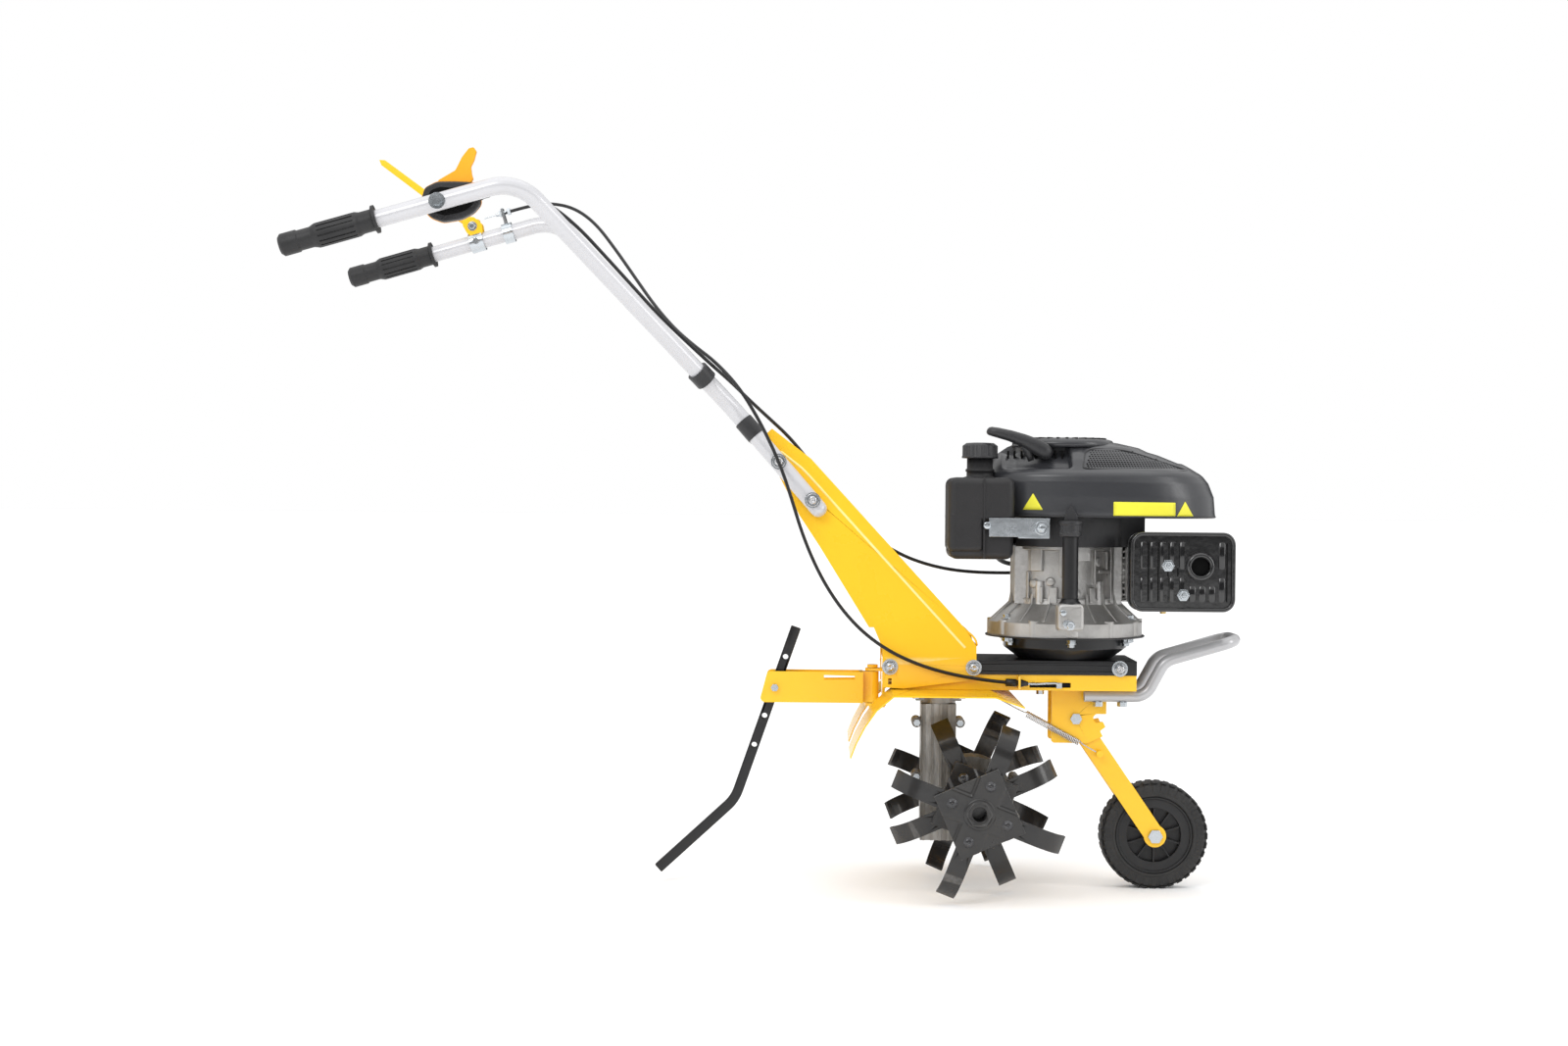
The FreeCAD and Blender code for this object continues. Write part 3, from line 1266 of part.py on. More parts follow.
def muffler():
    """Pressed box with vertical louvres and a round outlet on the right side."""
    x = d.muffler_x - d.muffler_length / 2
    z = d.muffler_z - d.muffler_height / 2
    box = block(x, -d.muffler_face, z, d.muffler_length, d.muffler_depth, d.muffler_height)
    rounded = fillet(box, float(d.muffler_corner), runs_along("Y"))
    room = block(x + 2, -d.muffler_face + 2, z + 2, d.muffler_length - 4, d.muffler_depth - 4,
                 d.muffler_height - 4)
    skin = cut(rounded, fillet(room, float(d.muffler_corner) - 2, runs_along("Y")))
    outlet = rod(624, -d.muffler_face - 4, 481, "Y", 20, 8.5)
    louvres = [block(x + 14 + 15 * n, -d.muffler_face - 2, z + zz, 7, 3, 36)
               for n in range(5) for zz in (12, 60)]
    hole = rod(624, -d.muffler_face - 10, 481, "Y", 13, 40)
    clear = [rod(x, -d.muffler_face - 10, z, "Y", 7.4, 10) for x, z in MUFFLER_SCREWS]
    pipe = rod(560, -d.muffler_face + d.muffler_depth, 468, "Y", 15, 2.5)
    return node("muffler", cut(fuse(skin, outlet, pipe, *louvres), hole, *clear))


def engine_screws():
    """Screws and nuts of the engine, as separate solids."""
    screws = []
    for angle in (30, 90, 150, 210, 270, 330):
        x = d.crank_x + 104 * math.cos(math.radians(angle))
        y = 104 * math.sin(math.radians(angle))
        screws.append(hexagon(x, y, d.bell_top - d.nut_height, "Z", 10, d.nut_height))
    for x, z in MUFFLER_SCREWS:
        screws.append(hexagon(x, -d.muffler_face - 6, z, "Y", 10, 6))
    screws.append(hexagon(398, -d.strap_y - 7, 534, "Y", 12, 5))
    screws.append(hexagon(432, -d.oil_y - 20, 398, "Y", 11, 6))
    screws.append(hexagon(575, -110, 413, "Z", 7, 6))
    return node("engine_screws", group(*screws))


def oval_stack(levels):
    """A solid lofted through ellipses: each level is x centre, z, half length, half width."""
    wires = []
    for x, z, a, b in levels:
        curve = Part.Ellipse(V(x, 0, z), a, b)
        wires.append(Part.Wire(curve.toShape()))
    return Part.makeLoft(wires, True, False)


def engine_shroud():
    """Domed plastic cover over the fan, open underneath."""
    x, a, b = float(d.shroud_x), float(d.shroud_a), float(d.shroud_b)
    bottom = float(d.shroud_bottom)
    outside = [(x, bottom, a, b), (x, bottom + 30, a - 1, b - 1), (x - 3, bottom + 58, a - 8, b - 8),
               (x - 8, bottom + 82, a - 32, b - 28), (x - 22, bottom + 102, a - 78, b - 58),
               (x - 34, bottom + 112, a - 125, b - 88)]
    wall = float(d.shroud_wall)
    inside = [(cx, cz - wall if index else cz - 1, ca - wall, cb - wall)
              for index, (cx, cz, ca, cb) in enumerate(outside)]
    shell = oval_stack(outside).cut(oval_stack(inside))
    shell = shell.cut(tank_room())
    pull = V(*PULL_DIRECTION)
    start, run = starter_axis()
    for step in range(6):
        shell = shell.cut(Part.makeCylinder(12, 110, start - run * 8 + pull * (step * 7), run))
    return node("engine_shroud", fixed(shell, "Shroud"))


PULL_DIRECTION = (-0.35, -0.1, 0.93)


def starter_axis():
    """Where the starter grip's bar begins and the way it runs."""
    return V(326, -72, 678), V(86, -6, -42).normalize()


def tank_room():
    """The space that the cover and the fan housing leave for the fuel tank."""
    return Part.makeBox(200, 300, 124, V(float(d.tank_x) - 100 + 2, -300 - 6 + 2, float(d.tank_z)))


def blower_housing():
    """Lower fan housing on top of the block."""
    low = d.block_top
    outer = rod(d.crank_x, 0, low, "Z", d.blower_radius, d.shroud_bottom - low - 1)
    snout = block(d.crank_x, -60, low, 110, 120, d.shroud_bottom - low - 1)
    hollow = rod(d.crank_x, 0, low + 3, "Z", d.blower_radius - 3, 80)
    snout_hollow = block(d.crank_x, -57, low + 3, 107, 114, 80)
    bore = rod(d.crank_x, 0, low - 5, "Z", d.crank_radius + 1, 20)
    room = fixed(tank_room(), "TankRoom")
    return node("blower_housing", cut(fuse(outer, snout), hollow, snout_hollow, bore, room))


def crankshaft():
    shaft = rod(d.crank_x, 0, d.crank_bottom, "Z", d.crank_radius, d.crank_top - d.crank_bottom)
    web = rod(d.crank_x, 0, 440, "Z", 40, 16)
    return node("crankshaft", fuse(shaft, web))


def flywheel():
    """Flywheel whose upper face carries the fan blades."""
    body = new_body("Flywheel")
    section = new_sketch(body, "XZ_Plane")
    z = d.flywheel_z
    draw_outline(section, [
        (d.crank_radius + 0.01, z), (d.flywheel_radius, z), (d.flywheel_radius, z + 14),
        (24, z + 14), (24, z + 26), (d.crank_radius + 0.01, z + 26)])
    revolve(body, section, "V_Axis")
    fan = new_sketch(body, "XZ_Plane")
    draw_outline(fan, [(40, z + 12), (d.flywheel_radius - 2, z + 12), (d.flywheel_radius - 2, z + 36),
                       (52, z + 36)])
    fan_blade = pad(body, fan, 3, midplane=True)
    polar(body, fan_blade, section, "V_Axis", 14)
    place(body, d.crank_x, 0, 0)
    return node("flywheel", body)


def starter_grip():
    """Moulded T-handle on the pull rope."""
    start, run = starter_axis()
    bar = Part.makeCylinder(8.5, 88, start, run)
    ends = [Part.makeSphere(8.5, start), Part.makeSphere(8.5, start + run * 88)]
    neck_start = start + run * 50
    neck = Part.makeCone(6, 4.5, 14, neck_start, V(0.35, 0.05, -0.93).normalize())
    shape = bar.fuse(ends + [neck]).removeSplitter()
    return node("starter_grip", fixed(shape, "StarterGrip"))


def fuel_tank():
    """Blow-moulded tank with its filler neck."""
    box = block(d.tank_x, -d.tank_y, d.tank_z, d.tank_length, d.tank_depth, d.tank_height)
    rounded = fillet(box, float(d.tank_corner), lambda edge: True)
    neck = rod(d.cap_x, -d.cap_y, d.tank_z + d.tank_height - 6, "Z", d.neck_radius, 36)
    inner = block(d.tank_x + d.tank_wall, -d.tank_y + d.tank_wall, d.tank_z + d.tank_wall,
                  d.tank_length - 2 * d.tank_wall, d.tank_depth - 2 * d.tank_wall,
                  d.tank_height - 2 * d.tank_wall)
    hollow = fillet(inner, float(d.tank_corner) - 2.5, lambda edge: True)
    mouth = rod(d.cap_x, -d.cap_y, d.tank_z + d.tank_height - 20, "Z", d.neck_radius - 3, 60)
    return node("fuel_tank", cut(fuse(rounded, neck), hollow, mouth))


def fuel_cap():
    """Screw cap with a fluted skirt."""
    skirt = rod(d.cap_x, -d.cap_y, 634, "Z", d.cap_radius, d.cap_height)
    rounded = fillet(skirt, 3, lambda e: "Circle" in e.Curve.TypeId and e.CenterOfMass.z > 640)
    hollow = rod(d.cap_x, -d.cap_y, 633, "Z", d.neck_radius + 0.5, d.cap_height - 3)
    return node("fuel_cap", cut(rounded, hollow))


def tank_bracket():
    """Zinc strap between the tank and the engine."""
    strap = block(323, -d.strap_y - 2, 521, 87, 2, 27)
    tab = block(365, -d.strap_y - 2, 519, 45, 24, 2)
    return node("tank_bracket", fuse(strap, tab))


def carburettor():
    """Carburettor on the left inlet port, and the air filter box beside it."""
    body = block(545, 66.5, 452, 32, 34, 34)
    bowl = rod(561, 83, 434, "Z", 14, 20)
    inlet = rod(561, 98, 468, "Y", 14, 8)
    filter_box = block(506, 106, 446, 112, 42, 70)
    rounded = fillet(filter_box, 10, runs_along("Y"))
    return node("carburettor", group(fuse(body, bowl, inlet), rounded))


def oil_tube():
    tube_body = ring(d.oil_x, -d.oil_y, d.oil_bottom, "Z", d.oil_radius, 7.5, d.oil_height)
    collar = ring(d.oil_x, -d.oil_y, d.oil_bottom, "Z", d.oil_radius + 2.5, 7.5, 5)
    return node("oil_tube", fuse(tube_body, collar))


def dipstick():
    """Filler cap with a finger tab and its dipping blade."""
    z = d.oil_bottom + d.oil_height
    cap = rod(d.oil_x, -d.oil_y, z + 0.3, "Z", 16, 22)
    tab = block(d.oil_x - 9, -d.oil_y - 3, z + 20, 18, 6, 22)
    blade_piece = block(d.oil_x - 2, -d.oil_y - 1, z - 82, 4, 2, 84)
    return node("dipstick", fuse(cap, tab, blade_piece))


# ---------------------------------------------------------------- controls

def on_grip_run(side, x):
    """The handlebar tube's middle at a given x on its upper straight run."""
    points = handle_points(side)
    share = (x - points[0].x) / (points[1].x - points[0].x)
    return points[0] + (points[1] - points[0]) * share


def throttle_housing():
    """Oval box bolted inside the right handlebar, with its back plate."""
    centre = on_grip_run(-1, -438)
    y = centre.y + float(d.handle_radius) + 1.5
    box = doc.addObject("Part::Box", "HousingBox")
    bind(box, Length=78, Width=22, Height=58)
    turn = FreeCAD.Rotation(V(0, 1, 0), -9)
    corner = V(centre.x, y, centre.z + 3) + turn.multVec(V(-39, 0.2, -29))
    box.Placement = FreeCAD.Placement(corner, turn)
    doc.recompute()
    rounded = fillet(box, 24, lambda e: len(e.Vertexes) == 2 and abs(abs(e.tangentAt(0).y) - 1) < 1e-3)
    pivot = rod(centre.x, y - 2, centre.z + 8, "Y", 4.05, 40)
    screw_hole = rod(-454, y - 12, on_grip_run(-1, -454).z, "Y", d.bolt_radius + 0.05, 40)
    return node("throttle_housing", cut(rounded, pivot, screw_hole))


def throttle_lever():
    """Thumb lever: a disc on the housing's inner face with a swept fin."""
    centre = on_grip_run(-1, -438)
    y = centre.y + float(d.handle_radius) + 24
    z = centre.z + 8
    disc = Part.makeCylinder(19, 3, V(centre.x, y, z), V(0, 1, 0))
    outline = [V(centre.x - 19, y, z + 4), V(centre.x - 16, y, z + 26), V(centre.x + 2, y, z + 44),
               V(centre.x + 16, y, z + 62), V(centre.x + 26, y, z + 71), V(centre.x + 31, y, z + 70),
               V(centre.x + 30, y, z + 62), V(centre.x + 24, y, z + 52), V(centre.x + 24, y, z + 38),
               V(centre.x + 16, y, z + 28), V(centre.x + 12, y, z + 8)]
    fin = Part.Face(Part.makePolygon(outline + outline[:1])).extrude(V(0, 4, 0))
    shaft = Part.makeCylinder(4, 24, V(centre.x, y - 22, z), V(0, 1, 0))
    return node("throttle_lever", fixed(disc.fuse([fin, shaft]).removeSplitter(), "ThrottleLever"))


def clutch_pivot():
    """The clutch lever's pivot above the left handlebar, and the tube's slope there."""
    points = handle_points(1)
    run = (points[1] - points[0]).normalize()
    up = V(0, 0, 1) - run * run.z
    return on_grip_run(1, -470), run, up.normalize()


def clutch_clamp():
    """Clamp on the left handlebar: ears for the lever's pin and a bracket for the cable."""
    centre, run, up = clutch_pivot()
    radius = float(d.handle_radius)
    body = Part.makeCylinder(radius + 3.5, 22, V(-11, 0, 0), V(1, 0, 0))
    body = body.fuse(Part.makeBox(20, 17, 26, V(-10, -8.5, 6)))
    body = body.cut(Part.makeCylinder(radius + 0.02, 60, V(-30, 0, 0), V(1, 0, 0)))
    body = body.cut(Part.makeBox(60, 7.4, 40, V(-30, -3.7, radius + 2.5)))
    body = body.cut(Part.makeCylinder(3.02, 60, V(0, -30, 25), V(0, 1, 0)))
    pin = Part.makeCylinder(3, 22, V(0, -11, 25), V(0, 1, 0))
    screw = Part.makeCylinder(5, 3, V(0, -radius - 6.5, 0), V(0, 1, 0))
    saddle = Part.makeCylinder(radius + 3.5, 16, V(44, 0, 0), V(1, 0, 0))
    saddle = saddle.fuse(Part.makeBox(4, 14, 30, V(50, -7, 10)))
    saddle = saddle.cut(Part.makeCylinder(radius + 0.02, 60, V(20, 0, 0), V(1, 0, 0)))
    saddle = saddle.cut(Part.makeCylinder(3.3, 60, V(30, 0, 33), V(1, 0, 0)))
    obj = fixed(Part.makeCompound([body, pin, screw, saddle]), "ClutchClamp")
    obj.Placement = FreeCAD.Placement(centre, FreeCAD.Rotation(run, run.cross(up) * -1, up, "XZY"))
    return node("clutch_clamp", obj)


def clutch_lever():
    """Flat dead-man lever on the clamp, held up by its spring until squeezed."""
    centre, run, up_tube = clutch_pivot()
    angle = math.radians(35)
    pivot = centre + up_tube * 25
    back = V(-math.cos(angle), 0, math.sin(angle))
    up = V(math.sin(angle), 0, math.cos(angle))

    def at(along, across):
        return pivot + back * along + up * across

    outline = [at(-5, -5), at(60, -8), at(176, -5), at(184, 0), at(176, 5), at(60, 3), at(14, 9),
               at(-2, 15), at(-8, 10)]
    plate = Part.Face(Part.makePolygon([V(p.x, p.y - 3, p.z) for p in outline + outline[:1]]))
    solid = plate.extrude(V(0, 6, 0))
    solid = solid.cut(Part.makeCylinder(3.05, 30, V(pivot.x, pivot.y - 15, pivot.z), V(0, 1, 0)))
    return node("clutch_lever", fixed(solid, "ClutchLever"))


CLUTCH_ROUTE = [
    (-427, 238, 1023), (-390, 236, 1034), (-352, 226, 1038), (-312, 206, 1028), (-276, 176, 1001),
    (-242, 138, 958), (-208, 94, 911), (-174, 46, 864), (-140, -2, 825), (-108, -42, 797),
    (-74, -74, 771), (-40, -91, 735), (-14, -94, 694), (8, -90, 652), (26, -87, 610), (40, -86, 568),
    (53, -85, 526), (70, -84, 484), (91, -84, 444), (118, -83, 406), (150, -82, 374), (188, -81, 349),
    (230, -80, 331), (274, -79, 319), (316, -78, 312), (352, -77, 308), (382, -76, 306.5),
]
THROTTLE_ROUTE = [
    (-398.3, -214, 995), (-374, -212, 999), (-342, -206, 998), (-305, -191, 985), (-268, -170, 957),
    (-231, -146, 918), (-194, -116, 878), (-157, -90, 838), (-119, -82, 802), (-79, -73, 766),
    (-53, -48, 744), (-26, -20, 718), (2, 8, 693), (30, 32, 668), (56, 48, 638), (80, 56, 606),
    (104, 60, 573), (132, 62, 541), (165, 63, 512), (201, 64, 490), (238, 68, 476), (277, 76, 467),
    (317, 86, 463), (360, 96, 462), (405, 100, 463), (450, 99, 464), (492, 92, 465), (522, 85, 466),
    (544.9, 84, 466),
]
HOSE_ROUTE = [
    (335, -9.9, 512), (335, 10, 512), (339, 31, 503), (345, 51, 491), (354, 71, 481), (374, 88, 475),
    (402, 98, 475), (436, 102, 476), (470, 101, 478), (498, 96, 479), (522, 91, 479),
    (544.9, 90, 479),
]


def clutch_cable():
    """Bowden cable from the lever's bracket to the tray: adjuster, sheath, boot and wire ends."""
    sheath = cord("clutch_cable", CLUTCH_ROUTE, d.cable_radius)
    start = V(*CLUTCH_ROUTE[0])
    end = V(*CLUTCH_ROUTE[-1])
    centre, run, up = clutch_pivot()
    wire_start = centre + run * 21 + up * 33
    wire = Part.makeCylinder(float(d.wire_radius), 34, wire_start, run)
    adjuster = Part.makeCylinder(3.2, 26, centre + run * 40 + up * 33, run)
    boot = Part.makeCone(4.5, 6.5, 14, end - V(2, 0, 0), V(1, 0, 0))
    # the pull wire lies along the outer face of the idler arm's finger
    front_wire = Part.makeCylinder(float(d.wire_radius), 30, end + V(11, -6.15, 0), V(1, 0, 0))
    whole = sheath.fuse([adjuster, boot, wire, front_wire]).removeSplitter()
    return node("clutch_cable", fixed(whole, "ClutchCable"))


def throttle_cable():
    return node("throttle_cable", fixed(cord("throttle_cable", THROTTLE_ROUTE, d.cable_radius),
                                        "ThrottleCable"))


def fuel_hose():
    return node("fuel_hose", fixed(cord("fuel_hose", HOSE_ROUTE, 3.5), "FuelHose"))


# ---------------------------------------------------------------- the whole machine

def build():
    deck_frame()
    belt_tray()
    handle_column()
    frame_bolts()
    tine_shield()
    hitch_bracket()
    hitch_arm()
    stake_screw()
    drag_stake()
    wheel_bracket()
    wheel_fork()
    wheel_axle()
    wheel_rim()
    tyre()
    wheel_spring()
    front_handle()
    handlebar(1, "handlebar_left")
    handlebar(-1, "handlebar_right")
    grip(1, "grip_left")
    grip(-1, "grip_right")
    handle_bands()
    gearcase(1, "gearcase_left")
    gearcase(-1, "gearcase_right")
    gearcase_neck()
    gearbox_bearings()
    worm_shaft()
    pulley("driven_pulley", d.worm_x, d.driven_pulley, d.worm_shaft_radius + 0.01, 7)
    pulley("engine_pulley", d.crank_x, d.engine_pulley, d.crank_radius + 0.01, 0)
    tine_axle()
    worm_wheel()
    tine_rotor(-1, 68.7, 23.7, "tine_rotor_right")
    tine_rotor(1, 21.3, 66.3, "tine_rotor_left")
    drive_belt()
    idler_arm()
    idler_pulley()
    bell_housing()
    engine_base()
    crankcase()
    cylinder_block()
    spark_plug()
    muffler()
    engine_screws()
    engine_shroud()
    blower_housing()
    crankshaft()
    flywheel()
    starter_grip()
    fuel_tank()
    fuel_cap()
    tank_bracket()
    carburettor()
    oil_tube()
    dipstick()
    throttle_housing()
    throttle_lever()
    clutch_clamp()
    clutch_lever()
    clutch_cable()
    throttle_cable()
    fuel_hose()


def check():
    """Stop before writing anything when a sub-part did not come out whole."""
    doc.recompute()
    for obj in doc.Objects:
        if "Invalid" in obj.State or "Error" in obj.State:
            raise RuntimeError("%s (%s) failed" % (obj.Name, obj.Label))
    box = FreeCAD.BoundBox()
    for name, obj in nodes.items():
        shape = obj.Shape
        if shape.isNull() or not shape.isValid() or not shape.Solids:
            raise RuntimeError("%s has no valid solid" % name)
        if obj.Label != name:
            raise RuntimeError("%s got the label %s" % (name, obj.Label))
        box.add(shape.BoundBox)
    print("%d nodes, X %.1f to %.1f, Y %.1f to %.1f, Z %.1f to %.1f"
          % (len(nodes), box.XMin, box.XMax, box.YMin, box.YMax, box.ZMin, box.ZMax))


def write():
    """Write the sub-parts, with the origin moved to under the middle of the machine."""
    os.makedirs("parts", exist_ok=True)
    to_middle = V(-d.middle_x, 0, 0)
    for name, obj in nodes.items():
        shape = obj.Shape.copy()
        shape.translate(to_middle)
        shape.exportStep("parts/%s.step" % name)


build()
check()
write()
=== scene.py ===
"""Looks of the small motor tiller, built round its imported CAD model."""
import bpy
import bmesh
import math
from mathutils import Matrix, Vector
from mathutils.bvhtree import BVHTree


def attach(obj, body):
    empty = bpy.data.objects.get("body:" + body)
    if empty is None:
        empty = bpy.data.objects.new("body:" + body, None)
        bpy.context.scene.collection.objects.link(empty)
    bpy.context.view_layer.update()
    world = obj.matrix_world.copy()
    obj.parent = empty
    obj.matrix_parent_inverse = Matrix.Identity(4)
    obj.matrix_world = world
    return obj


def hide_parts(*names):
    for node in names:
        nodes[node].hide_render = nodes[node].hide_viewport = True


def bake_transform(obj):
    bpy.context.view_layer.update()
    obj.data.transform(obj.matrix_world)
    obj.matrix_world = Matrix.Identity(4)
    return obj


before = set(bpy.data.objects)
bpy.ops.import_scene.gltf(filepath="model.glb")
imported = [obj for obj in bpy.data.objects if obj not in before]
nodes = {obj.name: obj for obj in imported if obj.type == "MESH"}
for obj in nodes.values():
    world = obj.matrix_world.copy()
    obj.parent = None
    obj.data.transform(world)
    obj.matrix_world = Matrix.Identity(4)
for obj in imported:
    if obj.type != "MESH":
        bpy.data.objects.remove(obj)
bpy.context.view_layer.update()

MIDDLE_X = 13.5
RIGHT, LEFT = -1, 1
SIDES = ((RIGHT, "Right"), (LEFT, "Left"))

UP = (0, 0, 1)
NEAR = (0, -1, 0)

FOCAL = 2397           # focal length, in widths of 1/1600 of the frame
FRAME_WIDTH = 1600


def P(x, y, z):
    """A point in the machine's millimetres, as metres in the row frame."""
    return Vector(((x - MIDDLE_X) / 1000, y / 1000, z / 1000))


# ------------------------------------------------------------------ camera, light, floor

def make_camera():
    yaw = math.atan(40 / FOCAL)
    pitch = math.atan(-28.5 / FOCAL)
    roll = math.radians(0.5)
    ahead = Vector((-math.sin(yaw) * math.cos(pitch), math.cos(yaw) * math.cos(pitch), math.sin(pitch)))
    level = ahead.cross(Vector(UP)).normalized()
    upright = level.cross(ahead)
    right = level * math.cos(roll) + upright * math.sin(roll)
    up = -level * math.sin(roll) + upright * math.cos(roll)
    data = bpy.data.cameras.new("Camera")
    data.sensor_width = 36
    data.lens = data.sensor_width * FOCAL / FRAME_WIDTH
    camera = add_object("Camera", data)
    turn = Matrix((right, up, -ahead)).transposed()
    camera.matrix_world = Matrix.Translation(P(84.7, -3500, 578.1)) @ turn.to_4x4()
    bpy.context.scene.camera = camera


def add_object(name, data):
    obj = bpy.data.objects.new(name, data)
    bpy.context.scene.collection.objects.link(obj)
    return obj


def make_light(name, place, target, size, power):
    data = bpy.data.lights.new(name, "AREA")
    data.shape = "RECTANGLE"
    data.size, data.size_y = size
    data.energy = power
    light = add_object(name, data)
    light.location = place
    light.rotation_euler = (Vector(target) - Vector(place)).to_track_quat("-Z", "Y").to_euler()


def plain_look(name, grey, roughness=0.5, shine=0.5):
    look = bpy.data.materials.new(name)
    look.use_nodes = True
    shader = look.node_tree.nodes["Principled BSDF"]
    shader.inputs["Base Color"].default_value = (grey, grey, grey, 1)
    shader.inputs["Roughness"].default_value = roughness
    shader.inputs["Specular IOR Level"].default_value = shine
    return look


def stage_sheet(name, corners, look):
    mesh = bpy.data.meshes.new(name)
    mesh.from_pydata(corners, [], [(0, 1, 2, 3)])
    mesh.materials.append(look)
    sheet = add_object(name, mesh)
    return sheet


def make_stage():
    world = bpy.data.worlds.new("Studio")
    world.use_nodes = True
    world.node_tree.nodes["Background"].inputs[0].default_value = (1, 1, 1, 1)
    world.node_tree.nodes["Background"].inputs[1].default_value = 1.0
    bpy.context.scene.world = world
    bpy.context.scene.view_settings.view_transform = "Standard"
    make_light("Key", (-1.3, -2.8, 2.6), (0.1, 0, 0.4), (1.6, 1.2), 34)
    make_light("Side", (2.9, -1.2, 1.5), (0.2, 0, 0.4), (0.7, 1.8), 16)
    sky = bpy.data.lights.new("Overhead", "SUN")
    sky.energy = 0.75
    sky.angle = math.radians(70)
    add_object("Overhead", sky)
    # dark cards on either side, which only the gloss of the machine sees
    for name, y in (("CardFront", -7), ("CardBack", 7)):
        card = stage_sheet(name, [(-7, y, 0.2), (7, y, 0.2), (7, y, 3.4), (-7, y, 3.4)],
                           plain_look(name, 0.02))
        card.visible_camera = card.visible_shadow = card.visible_diffuse = False
    floor = stage_sheet("Floor", [(-40, -40, 0), (40, -40, 0), (40, 60, 0), (-40, 60, 0)],
                        plain_look("FloorWhite", 0.97, 0.9, 0.1))
    floor.location.z = -0.0002


make_camera()
make_stage()


# ------------------------------------------------------------------ materials

def material(name, color, roughness, metallic=0.0, coat=0.0, tint=None, tint_scale=12.0,
             spread=0.5, rough_change=0.08, grain=(0.0, 900.0), dents=(0.0, 40.0), wear=None,
             stretch=(1, 1, 1), shine=0.5):
    """A procedural material: two-tone mottling, uneven gloss, fine grain, soft dents and edge wear.

    grain and dents are (strength, scale); wear is (colour, the pointiness where it starts)."""
    look = bpy.data.materials.new(name)
    look.use_nodes = True
    nodes_of = look.node_tree.nodes
    join = look.node_tree.links.new
    shader = nodes_of["Principled BSDF"]
    shader.inputs["Metallic"].default_value = metallic
    shader.inputs["Coat Weight"].default_value = coat
    shader.inputs["Coat Roughness"].default_value = 0.12
    shader.inputs["Specular IOR Level"].default_value = shine
    mapping = nodes_of.new("ShaderNodeMapping")
    mapping.inputs["Scale"].default_value = stretch
    join(nodes_of.new("ShaderNodeTexCoord").outputs["Object"], mapping.inputs["Vector"])

    def noise(scale, detail=2.0, rough=0.5):
        texture = nodes_of.new("ShaderNodeTexNoise")
        texture.inputs["Scale"].default_value = scale
        texture.inputs["Detail"].default_value = detail
        texture.inputs["Roughness"].default_value = rough
        join(mapping.outputs["Vector"], texture.inputs["Vector"])
        return texture.outputs["Fac"]

    blotch = noise(tint_scale, 6, 0.6)
    ramp = nodes_of.new("ShaderNodeValToRGB")
    low, high = ramp.color_ramp.elements
    low.position, high.position = 0.5 - spread / 2, 0.5 + spread / 2
    low.color = (*(tint or tuple(c * 0.86 for c in color)), 1)
    high.color = (*color, 1)
    join(blotch, ramp.inputs["Fac"])
    base = ramp.outputs["Color"]

    gloss = nodes_of.new("ShaderNodeMapRange")
    gloss.inputs["To Min"].default_value = max(0.02, roughness - rough_change)
    gloss.inputs["To Max"].default_value = min(1.0, roughness + rough_change)
    join(blotch, gloss.inputs["Value"])
    join(gloss.outputs["Result"], shader.inputs["Roughness"])

    if wear:
        worn_color, threshold = wear
        edge = nodes_of.new("ShaderNodeValToRGB")
        edge.color_ramp.elements[0].position = threshold
        edge.color_ramp.elements[1].position = threshold + 0.05
        join(nodes_of.new("ShaderNodeNewGeometry").outputs["Pointiness"], edge.inputs["Fac"])
        share = nodes_of.new("ShaderNodeMath")
        share.operation = "MULTIPLY"
        join(edge.outputs["Color"], share.inputs[0])
        join(noise(160), share.inputs[1])
        mix = nodes_of.new("ShaderNodeMix")
        mix.data_type = "RGBA"
        mix.inputs["B"].default_value = (*worn_color, 1)
        join(share.outputs["Value"], mix.inputs["Factor"])
        join(base, mix.inputs["A"])
        base = mix.outputs["Result"]
    join(base, shader.inputs["Base Color"])

    normal = None
    for (strength, scale), detail in ((dents, 2), (grain, 5)):
        if not strength:
            continue
        bump = nodes_of.new("ShaderNodeBump")
        bump.inputs["Strength"].default_value = 1
        bump.inputs["Distance"].default_value = strength / scale
        join(noise(scale, detail), bump.inputs["Height"])
        if normal:
            join(normal, bump.inputs["Normal"])
        normal = bump.outputs["Normal"]
    if normal:
        join(normal, shader.inputs["Normal"])
    return look


YELLOW = material(
    "YellowEnamel", (0.93, 0.55, 0.016), 0.27, coat=0.35, tint=(0.9, 0.5, 0.012), tint_scale=5,
    rough_change=0.05, grain=(0.03, 900), dents=(0.02, 22), wear=((0.98, 0.78, 0.32), 0.56),
    shine=0.35)
YELLOW_PLASTIC = material(
    "YellowPlastic", (0.92, 0.40, 0.008), 0.34, tint=(0.88, 0.36, 0.007), tint_scale=25,
    grain=(0.15, 1400), shine=0.35)
LABEL = material(
    "LabelFilm", (0.78, 0.74, 0.05), 0.35, tint=(0.74, 0.69, 0.045), tint_scale=60, grain=(0.05, 1200),
    shine=0.3)
BLACK_ENAMEL = material(
    "BlackEnamel", (0.012, 0.012, 0.013), 0.3, coat=0.2, tint=(0.008, 0.008, 0.009), tint_scale=9,
    rough_change=0.08, grain=(0.05, 900), dents=(0.02, 30), wear=((0.07, 0.07, 0.07), 0.58),
    shine=0.35)
TINE_BLACK = material(
    "TineEnamel", (0.012, 0.012, 0.013), 0.3, coat=0.35, tint=(0.024, 0.022, 0.02), tint_scale=16,
    rough_change=0.12, grain=(0.07, 500), dents=(0.04, 40), wear=((0.14, 0.135, 0.13), 0.57),
    shine=0.4)
BLACK_OXIDE = material(
    "BlackOxide", (0.09, 0.09, 0.095), 0.22, metallic=0.7, tint=(0.05, 0.05, 0.052), tint_scale=120,
    grain=(0.03, 1500))
